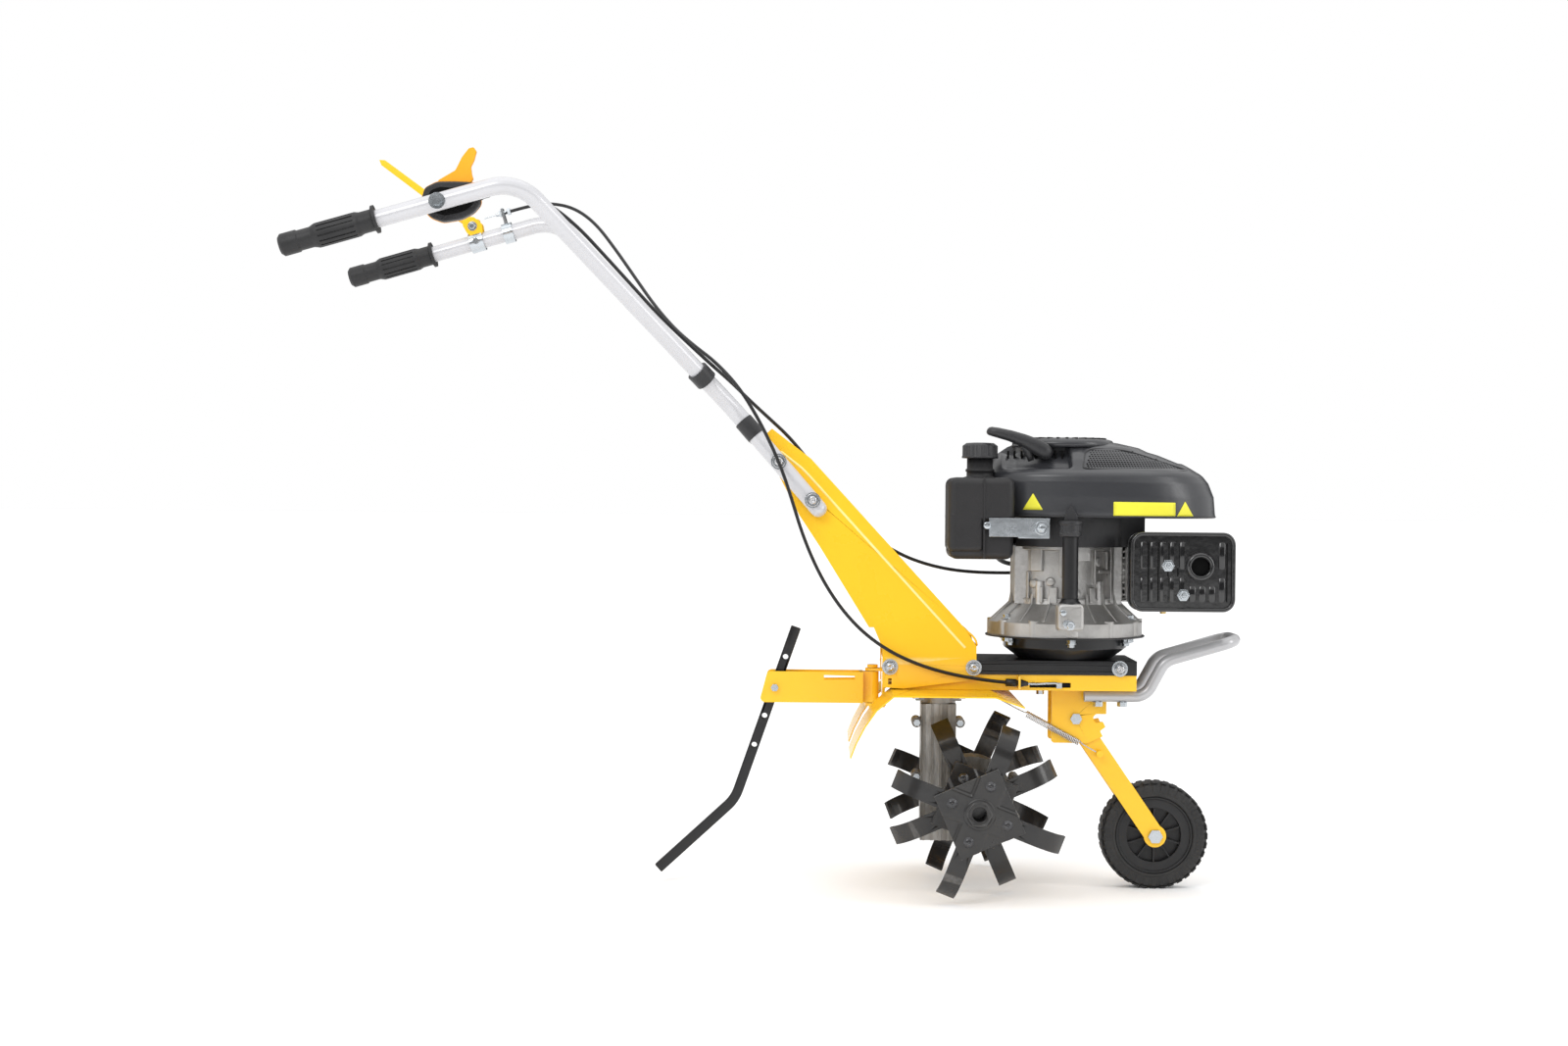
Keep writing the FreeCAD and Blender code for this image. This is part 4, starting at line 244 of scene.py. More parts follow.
# painted highlight: a pale yellow that stands in for the light on the column's bent front edge
HIGHLIGHT_YELLOW = material(
    "PaintedFoldHighlight", (0.98, 0.8, 0.36), 0.2, coat=0.6, tint=(0.97, 0.72, 0.22), tint_scale=30,
    grain=(0.02, 900))
GLOSS_BLACK = material(
    "SilencerEnamel", (0.008, 0.008, 0.009), 0.13, coat=0.6, tint=(0.014, 0.014, 0.014), tint_scale=18,
    rough_change=0.06, grain=(0.015, 800), dents=(0.02, 60), shine=0.5)
SILVER = material(
    "SilverEnamel", (0.56, 0.56, 0.58), 0.3, metallic=0.15, coat=0.3, tint=(0.53, 0.53, 0.55),
    tint_scale=24, rough_change=0.03, grain=(0.006, 1800), dents=(0.004, 40))
GREY_ENAMEL = material(
    "GreyEnamel", (0.46, 0.46, 0.47), 0.3, metallic=0.25, coat=0.3, tint=(0.42, 0.42, 0.43),
    tint_scale=30, grain=(0.02, 1600), dents=(0.006, 40))
ZINC = material(
    "ZincPlate", (0.58, 0.61, 0.64), 0.26, metallic=1.0, tint=(0.48, 0.52, 0.55), tint_scale=40,
    spread=0.8, rough_change=0.07, grain=(0.03, 1500), dents=(0.012, 90))
SPRING_STEEL = material(
    "SpringSteel", (0.75, 0.75, 0.76), 0.24, metallic=1.0, tint=(0.6, 0.6, 0.62), tint_scale=200,
    grain=(0.05, 2500))
BRASS = material(
    "BrassFitting", (0.7, 0.5, 0.2), 0.3, metallic=1.0, tint=(0.55, 0.38, 0.14), tint_scale=150,
    grain=(0.1, 1500))
RUBBER = material(
    "HandRubber", (0.016, 0.016, 0.017), 0.5, tint=(0.024, 0.024, 0.025), tint_scale=30,
    rough_change=0.1, grain=(0.2, 1100), shine=0.35)
SHEATH = material(
    "CableSheath", (0.01, 0.01, 0.011), 0.34, tint=(0.016, 0.016, 0.017), tint_scale=60,
    grain=(0.08, 900), shine=0.35)
TYRE = material(
    "TyreRubber", (0.017, 0.017, 0.018), 0.6, tint=(0.03, 0.029, 0.028), tint_scale=35,
    rough_change=0.12, grain=(0.3, 700), dents=(0.1, 120), shine=0.4)
BLACK_PLASTIC = material(
    "TexturedPlastic", (0.02, 0.02, 0.022), 0.4, tint=(0.028, 0.028, 0.03), tint_scale=14,
    rough_change=0.07, grain=(0.22, 1300), dents=(0.04, 20), shine=0.4)
COVER_PLASTIC = material(
    "CoverPlastic", (0.026, 0.027, 0.031), 0.3, tint=(0.034, 0.035, 0.039), tint_scale=10,
    rough_change=0.05, grain=(0.1, 1300), dents=(0.02, 20), shine=0.6)
RIM_PLASTIC = material(
    "RimPlastic", (0.012, 0.012, 0.013), 0.35, tint=(0.018, 0.018, 0.019), tint_scale=20,
    rough_change=0.08, grain=(0.12, 1100), shine=0.4)
TANK_PLASTIC = material(
    "TankPlastic", (0.014, 0.014, 0.015), 0.46, tint=(0.022, 0.021, 0.022), tint_scale=22,
    rough_change=0.08, grain=(0.35, 800), shine=0.35)
DARK = material(
    "ShadowPlastic", (0.004, 0.004, 0.004), 0.7, tint=(0.006, 0.006, 0.006), grain=(0.1, 900),
    shine=0.1)
CASTING = material(
    "CastAluminium", (0.50, 0.495, 0.485), 0.42, metallic=0.8, tint=(0.36, 0.35, 0.335), tint_scale=26,
    spread=0.4, rough_change=0.12, grain=(0.16, 420), dents=(0.06, 60),
    wear=((0.72, 0.71, 0.70), 0.55))
GEAR_CASTING = material(
    "GearCasting", (0.34, 0.325, 0.305), 0.38, metallic=0.85, tint=(0.15, 0.14, 0.125), tint_scale=34,
    spread=0.4, rough_change=0.12, grain=(0.15, 380), dents=(0.08, 70),
    wear=((0.66, 0.65, 0.63), 0.55), stretch=(1, 1, 0.35))
STEEL = material(
    "MachinedSteel", (0.55, 0.55, 0.56), 0.25, metallic=1.0, tint=(0.45, 0.45, 0.46), tint_scale=70,
    grain=(0.06, 1200))
IRON = material(
    "GreyIron", (0.16, 0.16, 0.165), 0.5, metallic=0.8, tint=(0.1, 0.1, 0.1), tint_scale=40,
    grain=(0.3, 500))
BRONZE = material(
    "GearBronze", (0.55, 0.36, 0.12), 0.3, metallic=1.0, tint=(0.42, 0.26, 0.08), tint_scale=60,
    grain=(0.06, 900))
CERAMIC = material(
    "Ceramic", (0.8, 0.8, 0.78), 0.2, tint=(0.74, 0.74, 0.72), grain=(0.03, 900))

NODE_LOOKS = {
    YELLOW: ["belt_tray", "handle_column", "wheel_bracket", "clutch_lever", "tine_shield",
             "hitch_bracket", "hitch_arm", "wheel_fork"],
    YELLOW_PLASTIC: ["throttle_lever"],
    BLACK_ENAMEL: ["deck_frame", "drag_stake", "bell_housing"],
    TINE_BLACK: ["tine_rotor_left", "tine_rotor_right", "tine_axle"],
    GLOSS_BLACK: ["muffler"],
    SILVER: ["handlebar_left", "handlebar_right"],
    GREY_ENAMEL: ["front_handle"],
    ZINC: ["frame_bolts", "stake_screw", "wheel_axle", "engine_screws", "tank_bracket",
           "idler_arm", "clutch_clamp"],
    SPRING_STEEL: ["wheel_spring"],
    RUBBER: ["grip_left", "grip_right", "drive_belt"],
    SHEATH: ["clutch_cable", "throttle_cable", "fuel_hose", "oil_tube"],
    TYRE: ["tyre"],
    RIM_PLASTIC: ["wheel_rim"],
    BLACK_PLASTIC: ["handle_bands", "engine_shroud", "blower_housing", "starter_grip",
                    "fuel_cap", "dipstick", "throttle_housing", "idler_pulley"],
    TANK_PLASTIC: ["fuel_tank"],
    CASTING: ["engine_base", "crankcase", "cylinder_block", "carburettor"],
    GEAR_CASTING: ["gearcase_left", "gearcase_right", "gearcase_neck"],
    STEEL: ["gearbox_bearings", "worm_shaft", "driven_pulley", "engine_pulley", "crankshaft"],
    IRON: ["flywheel"],
    BRONZE: ["worm_wheel"],
    CERAMIC: ["spark_plug"],
}

BEVELS = {
    "deck_frame": 1.5, "belt_tray": 1.2, "handle_column": 1.0, "tine_shield": 0.5, "hitch_arm": 1.0,
    "hitch_bracket": 1.0, "wheel_bracket": 0.8, "wheel_fork": 0.9, "drag_stake": 1.6,
    "engine_base": 2.2, "crankcase": 1.5, "cylinder_block": 0.5, "gearcase_left": 1.5,
    "gearcase_right": 1.5, "gearcase_neck": 1.5, "muffler": 0.6, "bell_housing": 0.8,
    "blower_housing": 2.0, "throttle_housing": 2.5, "tank_bracket": 0.4, "clutch_lever": 0.8,
    "throttle_lever": 0.8, "frame_bolts": 0.45, "engine_screws": 0.4, "wheel_axle": 0.5,
    "handle_bands": 0.6, "grip_left": 0.5, "grip_right": 0.5, "tyre": 0.8, "wheel_rim": 0.6,
    "oil_tube": 0.6, "carburettor": 1.5, "clutch_clamp": 0.5, "tine_rotor_left": 0.35,
    "tine_rotor_right": 0.35, "front_handle": 0.3,
}


def dress(name, look):
    """Give a CAD node its material, and rounded edges where they would catch the light."""
    obj = nodes[name]
    obj.data.materials.clear()
    obj.data.materials.append(look)
    if name in BEVELS:
        weld = obj.modifiers.new("Weld", "WELD")
        weld.merge_threshold = 0.00001
        bevel = obj.modifiers.new("Edges", "BEVEL")
        bevel.width = BEVELS[name] / 1000
        bevel.segments = 2
        bevel.limit_method = "ANGLE"
        bevel.angle_limit = math.radians(32)
        bevel.harden_normals = False
        smooth = obj.modifiers.new("Normals", "WEIGHTED_NORMAL")
        smooth.keep_sharp = False


for look, names in NODE_LOOKS.items():
    for name in names:
        dress(name, look)


# ------------------------------------------------------------------ making pieces

def add_piece(name, mesh, look, body="machine", smooth=True, bevel=0.0, slot=None, angle=35):
    """A mesh as a piece on a body; bevel is the width of its rounded edges in millimetres."""
    obj = add_object(name, mesh)
    mesh.materials.append(look)
    for face in mesh.polygons:
        face.use_smooth = smooth
    if bevel:
        edges = obj.modifiers.new("Edges", "BEVEL")
        edges.width = bevel / 1000
        edges.segments = 3
        edges.limit_method = "ANGLE"
        edges.angle_limit = math.radians(angle)
        normals = obj.modifiers.new("Normals", "WEIGHTED_NORMAL")
        normals.keep_sharp = False
    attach(obj, body)
    return obj


def mesh_from(points, faces, name):
    mesh = bpy.data.meshes.new(name)
    mesh.from_pydata([P(*p) for p in points], [], faces)
    tidy = bmesh.new()
    tidy.from_mesh(mesh)
    bmesh.ops.recalc_face_normals(tidy, faces=tidy.faces)
    tidy.to_mesh(mesh)
    tidy.free()
    return mesh


def block_shape(x0, x1, y0, y1, z0, z1):
    """A box as (points, faces), the form that every shape function gives."""
    points = [(x, y, z) for z in (z0, z1) for y in (y0, y1) for x in (x0, x1)]
    faces = [(0, 1, 3, 2), (4, 6, 7, 5), (0, 4, 5, 1), (2, 3, 7, 6), (0, 2, 6, 4), (1, 5, 7, 3)]
    return points, faces


def merge(*shapes):
    points, faces = [], []
    for more_points, more_faces in shapes:
        start = len(points)
        points += more_points
        faces += [tuple(start + i for i in face) for face in more_faces]
    return points, faces


def frame_of(axis):
    """Two directions square to an axis."""
    axis = Vector(axis).normalized()
    steep = max(abs(axis.y), abs(axis.z)) > 0.9
    first = Vector((1, 0, 0)) if steep else axis.orthogonal().normalized()
    first = (first - axis * first.dot(axis)).normalized()
    return axis, first, axis.cross(first)


def band_faces(rows, around, closed=False):
    """Faces between neighbouring rings of points, and back to the first ring if closed."""
    faces = []
    for row in range(rows if closed else rows - 1):
        a, b = row * around, (row + 1) % rows * around
        for step in range(around):
            after = (step + 1) % around
            faces.append((a + step, a + after, b + after, b + step))
    return faces


def superellipse(angle, power):
    """Cosine and sine, squared off by a power."""
    c, s = math.cos(angle), math.sin(angle)
    return math.copysign(abs(c) ** power, c), math.copysign(abs(s) ** power, s)


def lathe_shape(origin, axis, profile, segments=48, ripple=None, ring=False):
    """Turn (distance along, radius) pairs round an axis, as a solid or as a closed ring.

    ripple(angle, index) scales the radius."""
    axis, first, second = frame_of(axis)
    origin = Vector(origin)
    points = []
    for index, (along, radius) in enumerate(profile):
        for step in range(segments):
            angle = 2 * math.pi * step / segments
            r = radius * (ripple(angle, index) if ripple else 1)
            points.append(tuple(origin + axis * along + first * r * math.cos(angle)
                                + second * r * math.sin(angle)))
    rows = len(profile)
    faces = band_faces(rows, segments, ring)
    if not ring:
        faces.append(tuple(range(segments))[::-1])
        faces.append(tuple(range((rows - 1) * segments, rows * segments)))
    return points, faces


def prism_shape(outline, y0, y1):
    """An outline of (x, z) points run from y0 to y1."""
    count = len(outline)
    points = [(x, y0, z) for x, z in outline] + [(x, y1, z) for x, z in outline]
    faces = [tuple(range(count)), tuple(range(2 * count - 1, count - 1, -1))]
    faces += [(i, (i + 1) % count, count + (i + 1) % count, count + i) for i in range(count)]
    return points, faces


def turned(shape, origin, axis, degrees):
    turn = Matrix.Rotation(math.radians(degrees), 3, Vector(axis))
    origin = Vector(origin)
    points = [tuple(origin + turn @ (Vector(p) - origin)) for p in shape[0]]
    return points, shape[1]


def piece(name, shape, look, body="machine", **options):
    return add_piece(name, mesh_from(*shape, name), look, body, **options)


def tube_piece(name, points, radius, look, body="machine", order=3, closed=False, as_mesh=False):
    """A round wire or tube along a smooth curve through the guide points."""
    curve = bpy.data.curves.new(name, "CURVE")
    curve.dimensions = "3D"
    curve.bevel_depth = radius / 1000
    curve.bevel_resolution = 5
    curve.resolution_u = 10
    curve.use_fill_caps = True
    spline = curve.splines.new("NURBS")
    spline.points.add(len(points) - 1)
    for item, point in zip(spline.points, points):
        item.co = (*P(*point), 1)
    spline.order_u = order
    spline.use_endpoint_u = not closed
    spline.use_cyclic_u = closed
    curve.materials.append(look)
    obj = add_object(name, curve)
    if not as_mesh:
        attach(obj, body)
        return obj
    mesh = bpy.data.meshes.new_from_object(obj)
    bpy.data.objects.remove(obj)
    for face in mesh.polygons:
        face.use_smooth = True
    return add_object(name, mesh)


# ------------------------------------------------------------------ cables and hose

CLUTCH_ROUTE = [
    (-427, 238, 1023), (-390, 236, 1034), (-352, 226, 1038), (-312, 206, 1028), (-276, 176, 1001),
    (-242, 138, 958), (-208, 94, 911), (-174, 46, 864), (-140, -2, 825), (-108, -42, 797),
    (-74, -74, 771), (-40, -91, 735), (-14, -94, 694), (8, -90, 652), (26, -87, 610), (40, -86, 568),
    (53, -85, 526), (70, -84, 484), (91, -84, 444), (118, -83, 406), (150, -82, 374), (188, -81, 349),
    (230, -80, 331), (274, -79, 319), (316, -78, 312), (352, -77, 308), (382, -76, 306.5),
]
THROTTLE_ROUTE = [
    (-398.3, -214, 995), (-374, -212, 999), (-342, -206, 998), (-305, -191, 985), (-268, -170, 957),
    (-231, -146, 918), (-194, -116, 878), (-157, -90, 838), (-119, -82, 802), (-79, -73, 766),
    (-53, -48, 744), (-26, -20, 718), (2, 8, 693), (30, 32, 668), (56, 48, 638), (80, 56, 606),
    (104, 60, 573), (132, 62, 541), (165, 63, 512), (201, 64, 490), (238, 68, 476), (277, 76, 467),
    (317, 86, 463), (360, 96, 462), (405, 100, 463), (450, 99, 464), (492, 92, 465), (522, 85, 466),
    (544.9, 84, 466),
]
HOSE_ROUTE = [
    (335, -9.9, 512), (335, 10, 512), (339, 31, 503), (345, 51, 491), (354, 71, 481), (374, 88, 475),
    (402, 98, 475), (436, 102, 476), (470, 101, 478), (498, 96, 479), (522, 91, 479),
    (544.9, 90, 479),
]

for name, node, route, radius in (("ClutchCable", "clutch_cable", CLUTCH_ROUTE, 2.6),
                                  ("ThrottleCable", "throttle_cable", THROTTLE_ROUTE, 2.6),
                                  ("FuelHose", "fuel_hose", HOSE_ROUTE, 3.5)):
    lead = tube_piece(name, route, radius, SHEATH)
    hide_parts(node)


# ------------------------------------------------------------------ engine cover

COVER_LEVELS = [
    # height, rear end, front end, half width
    (549, 321, 663, 119.5), (551, 318, 665, 121.5), (556, 317, 664, 122), (580, 315, 662, 122),
    (600, 314, 654, 121), (610, 316, 646, 119), (614, 319, 641, 116.5), (617, 322, 636, 112),
    (623, 327, 626, 106), (633, 334, 608, 97), (643, 344, 583, 84), (652, 357, 552, 68),
    (659, 373, 520, 50), (663, 392, 488, 30), (664.5, 410, 462, 12),
]
COVER_POWER = 2.35


def smooth_step(low, high, value):
    t = min(1.0, max(0.0, (value - low) / (high - low)))
    return t * t * (3 - 2 * t)


def window(x, z, box, soft):
    x0, x1, z0, z1 = box
    return (smooth_step(x0 - soft, x0 + soft, x) * (1 - smooth_step(x1 - soft, x1 + soft, x))
            * smooth_step(z0 - soft, z0 + soft, z) * (1 - smooth_step(z1 - soft, z1 + soft, z)))


def cover_shape():
    """The fan cover: superellipses with a shoulder, a grip recess and a sunk grille band."""
    around = 240
    rows = []
    for low, high in zip(COVER_LEVELS, COVER_LEVELS[1:]):
        steps = max(2, int((high[0] - low[0]) / 2))
        rows += [tuple(a + (b - a) * k / steps for a, b in zip(low, high)) for k in range(steps)]
    rows.append(COVER_LEVELS[-1])
    points = []
    for z, rear, front, half in rows:
        centre, length = (rear + front) / 2, (front - rear) / 2
        for step in range(around):
            c, s = superellipse(2 * math.pi * step / around, 2 / COVER_POWER)
            x, y = centre + length * c, half * s
            sink = 3.0 * window(x, z, (462, 612, 621, 650), 3)
            if y < 0:
                sink += 13.0 * window(x, z, (349, 440, 623, 653), 4)
            reach = math.hypot(x - centre, y) or 1
            points.append((x - (x - centre) / reach * sink, y - y / reach * sink, z - sink * 0.55))
    faces = band_faces(len(rows), around)
    faces.append(tuple(range((len(rows) - 1) * around, len(rows) * around)))
    return points, faces


cover_mesh = mesh_from(*cover_shape(), "FanCover")
cover = add_piece("FanCover", cover_mesh, COVER_PLASTIC, slot="black_plastic")
shell = cover.modifiers.new("Wall", "SOLIDIFY")
shell.thickness = 0.0028
shell.offset = -1
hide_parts("engine_shroud")
cover_tree = BVHTree.FromPolygons([v.co.copy() for v in cover_mesh.vertices],
                                  [tuple(f.vertices) for f in cover_mesh.polygons])


def on_cover(x, z, side, lift=0.0):
    """Where a level line from the side meets the cover, and the outward normal there."""
    start = P(x, side * 300, z)
    hit, normal, _, _ = cover_tree.ray_cast(start, Vector((0, -side, 0)))
    if hit is None:
        return None, None
    if normal.y * side < 0:
        normal = -normal
    return hit + normal * (lift / 1000), normal


def film(name, outline, side, look, lift=0.35):
    """A thin label laid on the cover: an (x, z) outline filled with a fine grid."""
    mesh = bpy.data.meshes.new(name)
    work = bmesh.new()
    work.faces.new([work.verts.new((x, 0, z)) for x, z in outline])
    for column, direction, steps in ((0, Vector((1, 0, 0)), 14), (1, Vector(UP), 5)):
        low = min(p[column] for p in outline)
        high = max(p[column] for p in outline)
        for index in range(1, steps):
            bmesh.ops.bisect_plane(work, geom=work.verts[:] + work.edges[:] + work.faces[:],
                                   plane_co=direction * (low + (high - low) * index / steps),
                                   plane_no=direction)
    for vert in work.verts:
        spot, _ = on_cover(vert.co.x, vert.co.z, side, lift)
        vert.co = spot
    work.to_mesh(mesh)
    work.free()
    label = add_piece(name, mesh, look)
    skin = label.modifiers.new("Film", "SOLIDIFY")
    skin.thickness = 0.0003
    skin.offset = 0


def rounded_corners(outline, radius):
    """Cut each corner of an outline with a short curve."""
    result = []
    count = len(outline)
    for index in range(count):
        before, here, after = (Vector(outline[(index + k) % count]) for k in (-1, 0, 1))
        first = here + (before - here).normalized() * radius
        last = here + (after - here).normalized() * radius
        for t in (0, 0.25, 0.5, 0.75, 1):
            result.append(tuple(first * (1 - t) ** 2 + here * 2 * t * (1 - t) + last * t ** 2))
    return result


for name, outline, radius in (
        ("LabelTriangleRear", [(373, 560), (401, 560), (387, 584)], 1.6),
        ("LabelPlate", [(501, 551), (592, 551.5), (592, 572), (501, 572.5)], 1.2),
        ("LabelTriangleFront", [(594, 551.5), (620, 552), (607, 574)], 1.6)):
    film(name, rounded_corners(outline, radius), RIGHT, LABEL)


def in_machine(spot):
    """A row-frame point in metres, back in the machine's millimetres."""
    return Vector((spot.x * 1000 + MIDDLE_X, spot.y * 1000, spot.z * 1000))


GRILLE_EDGE = [(459, 619.5), (540, 618), (600, 617.6), (621, 618.5), (600, 624), (571, 633), (545, 642),
               (520, 648.5), (478, 650), (466, 646), (461, 634), (459, 624)]
HOLE_PITCH = 4.3


def grille_shape(side):
    """Rows of small near-black discs, painted shade where the grille's holes are, that follow the cover's
    slope, each row half a pitch on.
    """
    holes = []
    for row in range(10):
        z = 621.5 + row * 2.75
        start, end = 463 + row * 1.2, 614 - row * 8.2
        for index in range(int((end - start) / HOLE_PITCH)):
            x = start + HOLE_PITCH * index + (HOLE_PITCH / 2 if row % 2 else 0)
            spot, normal = on_cover(x, z, side)
            if spot is not None:
                holes.append(lathe_shape(in_machine(spot), normal, [(-0.4, 1.55), (0.12, 1.5)], 8))
    return merge(*holes)


for side, tag in SIDES:
    # painted shade: near-black discs for the grille's holes, and a black border round the grille
    piece("GrilleHoles" + tag, grille_shape(side), DARK, smooth=False)
    border = []
    for x, z in GRILLE_EDGE:
        spot, _ = on_cover(x, z, side, 0.1)
        if spot is not None:
            border.append(tuple(in_machine(spot)))
    tube_piece("GrilleBorder" + tag, border, 1.1, BLACK_PLASTIC, closed=True)


def recoil_cap():
    """Low round boss on the cover's top with a ring of cooling slots, drawn as near-black bars of painted
    shade.
    """
    piece("RecoilBoss", lathe_shape((440, 0, 652), UP, [
        (0, 76), (7, 75), (10.5, 72), (12.2, 66), (13.2, 40), (14.2, 36), (14.8, 20), (14.9, 2)], 96),
          COVER_PLASTIC)
    bar = block_shape(440 + 46, 440 + 64, -1.8, 1.8, 664.2, 666.3)
    slots = [turned(bar, (440, 0, 660), UP, 360 * k / 28) for k in range(28)]
    # painted shade: the slots are near-black bars laid on the boss
    piece("RecoilSlots", merge(*slots), DARK, bevel=0.5)


recoil_cap()

# ribs on the floor of the grip recess, in near-black painted shade
ribs = []
for index in range(9):
    x = 356 + index * 9.5
    spot, _ = on_cover(x, 636, RIGHT)
    if spot is not None:
        y = spot.y * 1000
        ribs.append(block_shape(x - 1.3, x + 1.3, y - 2.5, y + 6, 627, 646))
piece("RecessRibs", merge(*ribs), DARK, bevel=0.6)

# rim bead along the cover's lower edge
bead = []
for step in range(120):
    c, s = superellipse(2 * math.pi * step / 120, 2 / COVER_POWER)
    bead.append((491.5 + 172.5 * c, 121.8 * s, 551))
tube_piece("CoverBead", bead, 1.6, BLACK_PLASTIC, closed=True)


# ------------------------------------------------------------------ starter grip

def starter_handle():
    """A moulded T-grip: swollen ends, a waist and a stem to the rope."""
    start = Vector((322, -72, 675))
    run = Vector((94, -7, -36))
    length = run.length
    run.normalize()
    across = run.cross(Vector(UP)).normalized()
    tall = across.cross(run).normalized()
    # along, half width, half height
    sections = [(0, 2, 2), (1.5, 7, 5), (5, 10, 6.6), (14, 12, 7.4), (34, 12, 8.2), (54, 12.5, 9.4),
                (76, 14, 11.6), (90, 13.5, 11.6), (97, 10.5, 9), (length, 4, 4)]
    points = []
    around = 32
    for along, wide, high in sections:
        arch = 5.5 * math.sin(math.pi * along / length)
        for step in range(around):
            c, s = superellipse(2 * math.pi * step / around, 0.8)
            points.append(tuple(start + run * along + across * wide * c + tall * (arch + high * s)))
    faces = band_faces(len(sections), around)
    faces.append(tuple(range(around)))
    faces.append(tuple(range((len(sections) - 1) * around, len(sections) * around)))
    stem = lathe_shape(start + run * 60, (0.35, 0.05, -0.93),
                       [(0, 7.5), (8, 6.5), (16, 5), (24, 4.2)], 24)
    handle = piece("StarterHandle", merge((points, faces), stem), BLACK_PLASTIC, "starter_grip",
                   slot="black_plastic")
    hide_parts("starter_grip")


starter_handle()


# ------------------------------------------------------------------ tank, cap, dipstick

def rounded_block(name, corners, radius, look):
    """A box with every edge rounded."""
    obj = piece(name, block_shape(*corners), look)
    soft = obj.modifiers.new("Round", "BEVEL")
    soft.width = radius / 1000
    soft.segments = 5
    soft.limit_method = "NONE"
    soft.harden_normals = False
    normals = obj.modifiers.new("Normals", "WEIGHTED_NORMAL")
    normals.keep_sharp = False
    return obj


tank = rounded_block("TankUpper", (265, 360, -122, -10, 541, 606), 11, TANK_PLASTIC)
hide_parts("fuel_tank")
rounded_block("TankLower", (266.5, 359, -117.5, -11.5, 488, 558), 11, TANK_PLASTIC)
rounded_block("TankShoulder", (265, 317, -122, -10, 498, 560), 9, TANK_PLASTIC)
piece("TankSeam", block_shape(314.6, 317.4, -123.2, -8.8, 490, 605), TANK_PLASTIC, bevel=1.1)
piece("TankNeck", lathe_shape((313, -62, 598), UP,
                              [(0, 26), (8, 25), (10, 19.5), (16, 19.5), (17, 21), (20, 21), (21, 19),
                               (37, 19)], 64), TANK_PLASTIC)


def flutes(count, depth, first, last):
    """A ripple for lathe_shape: grooves round the rows from first to last."""
    def ripple(angle, index):
        if first <= index <= last:
            wave, _ = superellipse(count * angle, 0.5)
            return 1 - depth * (0.5 + 0.5 * wave)
        return 1
    return ripple


cap = piece("TankCap", lathe_shape((313, -62, 634), UP,
                                   [(0, 20), (0.2, 26.5), (3, 26.5), (4, 25.8), (18, 25.8), (19.5, 24.5),
                                    (21, 22), (22.5, 20), (23, 12)], 180, flutes(18, 0.035, 3, 5)),
            BLACK_PLASTIC, "fuel_cap", slot="black_plastic")
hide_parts("fuel_cap")

KNOB_TOP = 522
dip = piece("DipstickKnob", merge(
    lathe_shape((438, -139, KNOB_TOP), UP,
                [(0.3, 13), (0.5, 15.6), (6, 16.2), (7, 15.2), (17, 15.2), (18, 16.2), (22, 16), (23, 13),
                 (23.4, 5)], 120, flutes(12, 0.05, 3, 4)),
    prism_shape([(428, 543), (448, 543), (447, 552), (441, 563), (438, 567), (435, 563), (430, 552)],
                -142, -136)), BLACK_PLASTIC, "dipstick", bevel=0.7, slot="black_plastic")
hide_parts("dipstick")
piece("FillerFerrule", lathe_shape((438, -139, 424), UP, [(-1, 15.5), (4, 15.5), (6, 13.2), (10, 12)],
                                   48), SHEATH)


piece("StrapBolt", merge(
    lathe_shape((398, -124.5, 534), NEAR, [(0, 10), (1.4, 10), (1.6, 9)], 40),
    lathe_shape((398, -125.8, 534), NEAR, [(0, 7.2), (5, 7.2), (6, 5.8)], 6),
    lathe_shape((398, -131, 534), NEAR, [(0, 4.6), (1.6, 4.4), (2.4, 2)], 24)),
      ZINC, bevel=0.5)
piece("TankScrew", merge(
    lathe_shape((320, -123.5, 537), NEAR, [(0, 6), (1.2, 6), (3.4, 4.8), (4.2, 2)], 28),
    lathe_shape((320, -127, 537), NEAR, [(0, 1.6), (1.2, 1.4)], 12)),
      ZINC, bevel=0.3)


# ------------------------------------------------------------------ engine castings

CRANK_X = 445
STUD_ANGLES = (30, 90, 150, 210, 270, 330)


def round_crank(angle, radius, z):
    """A point at a radius from the crankshaft's line, at an angle from straight ahead."""
    a = math.radians(angle)
    return (CRANK_X + radius * math.cos(a), radius * math.sin(a), z)


def round_studs(radius, z, profile, segments):
    return [lathe_shape(round_crank(a, radius, z), UP, profile, segments) for a in STUD_ANGLES]


gusset = prism_shape([(523, 423), (526, 438), (529, 423), (556, 398), (523, 398)], -2.2, 2.2)
gussets = [turned(gusset, (CRANK_X, 0, 0), UP, 8 + 20 * k) for k in range(18)]
base_lugs = round_studs(104, 376, [(0, 12.5), (21, 12.5), (24, 10), (24.5, 5)], 32)
piece("BaseGussets", merge(*gussets, *base_lugs), CASTING, bevel=1.2)
piece("BaseStuds", merge(*round_studs(104, 400, [(0, 9), (1.4, 9), (1.5, 5.6), (6.4, 5.6), (7, 4.8)], 6)),
      ZINC, bevel=0.5)


def wall_rib(angle, low, high, width, reach):
    """A vertical rib on the crankcase wall at an angle from straight ahead."""
    bar = block_shape(CRANK_X + 66, CRANK_X + reach, -width / 2, width / 2, low, high)
    return turned(bar, (CRANK_X, 0, 0), UP, angle)


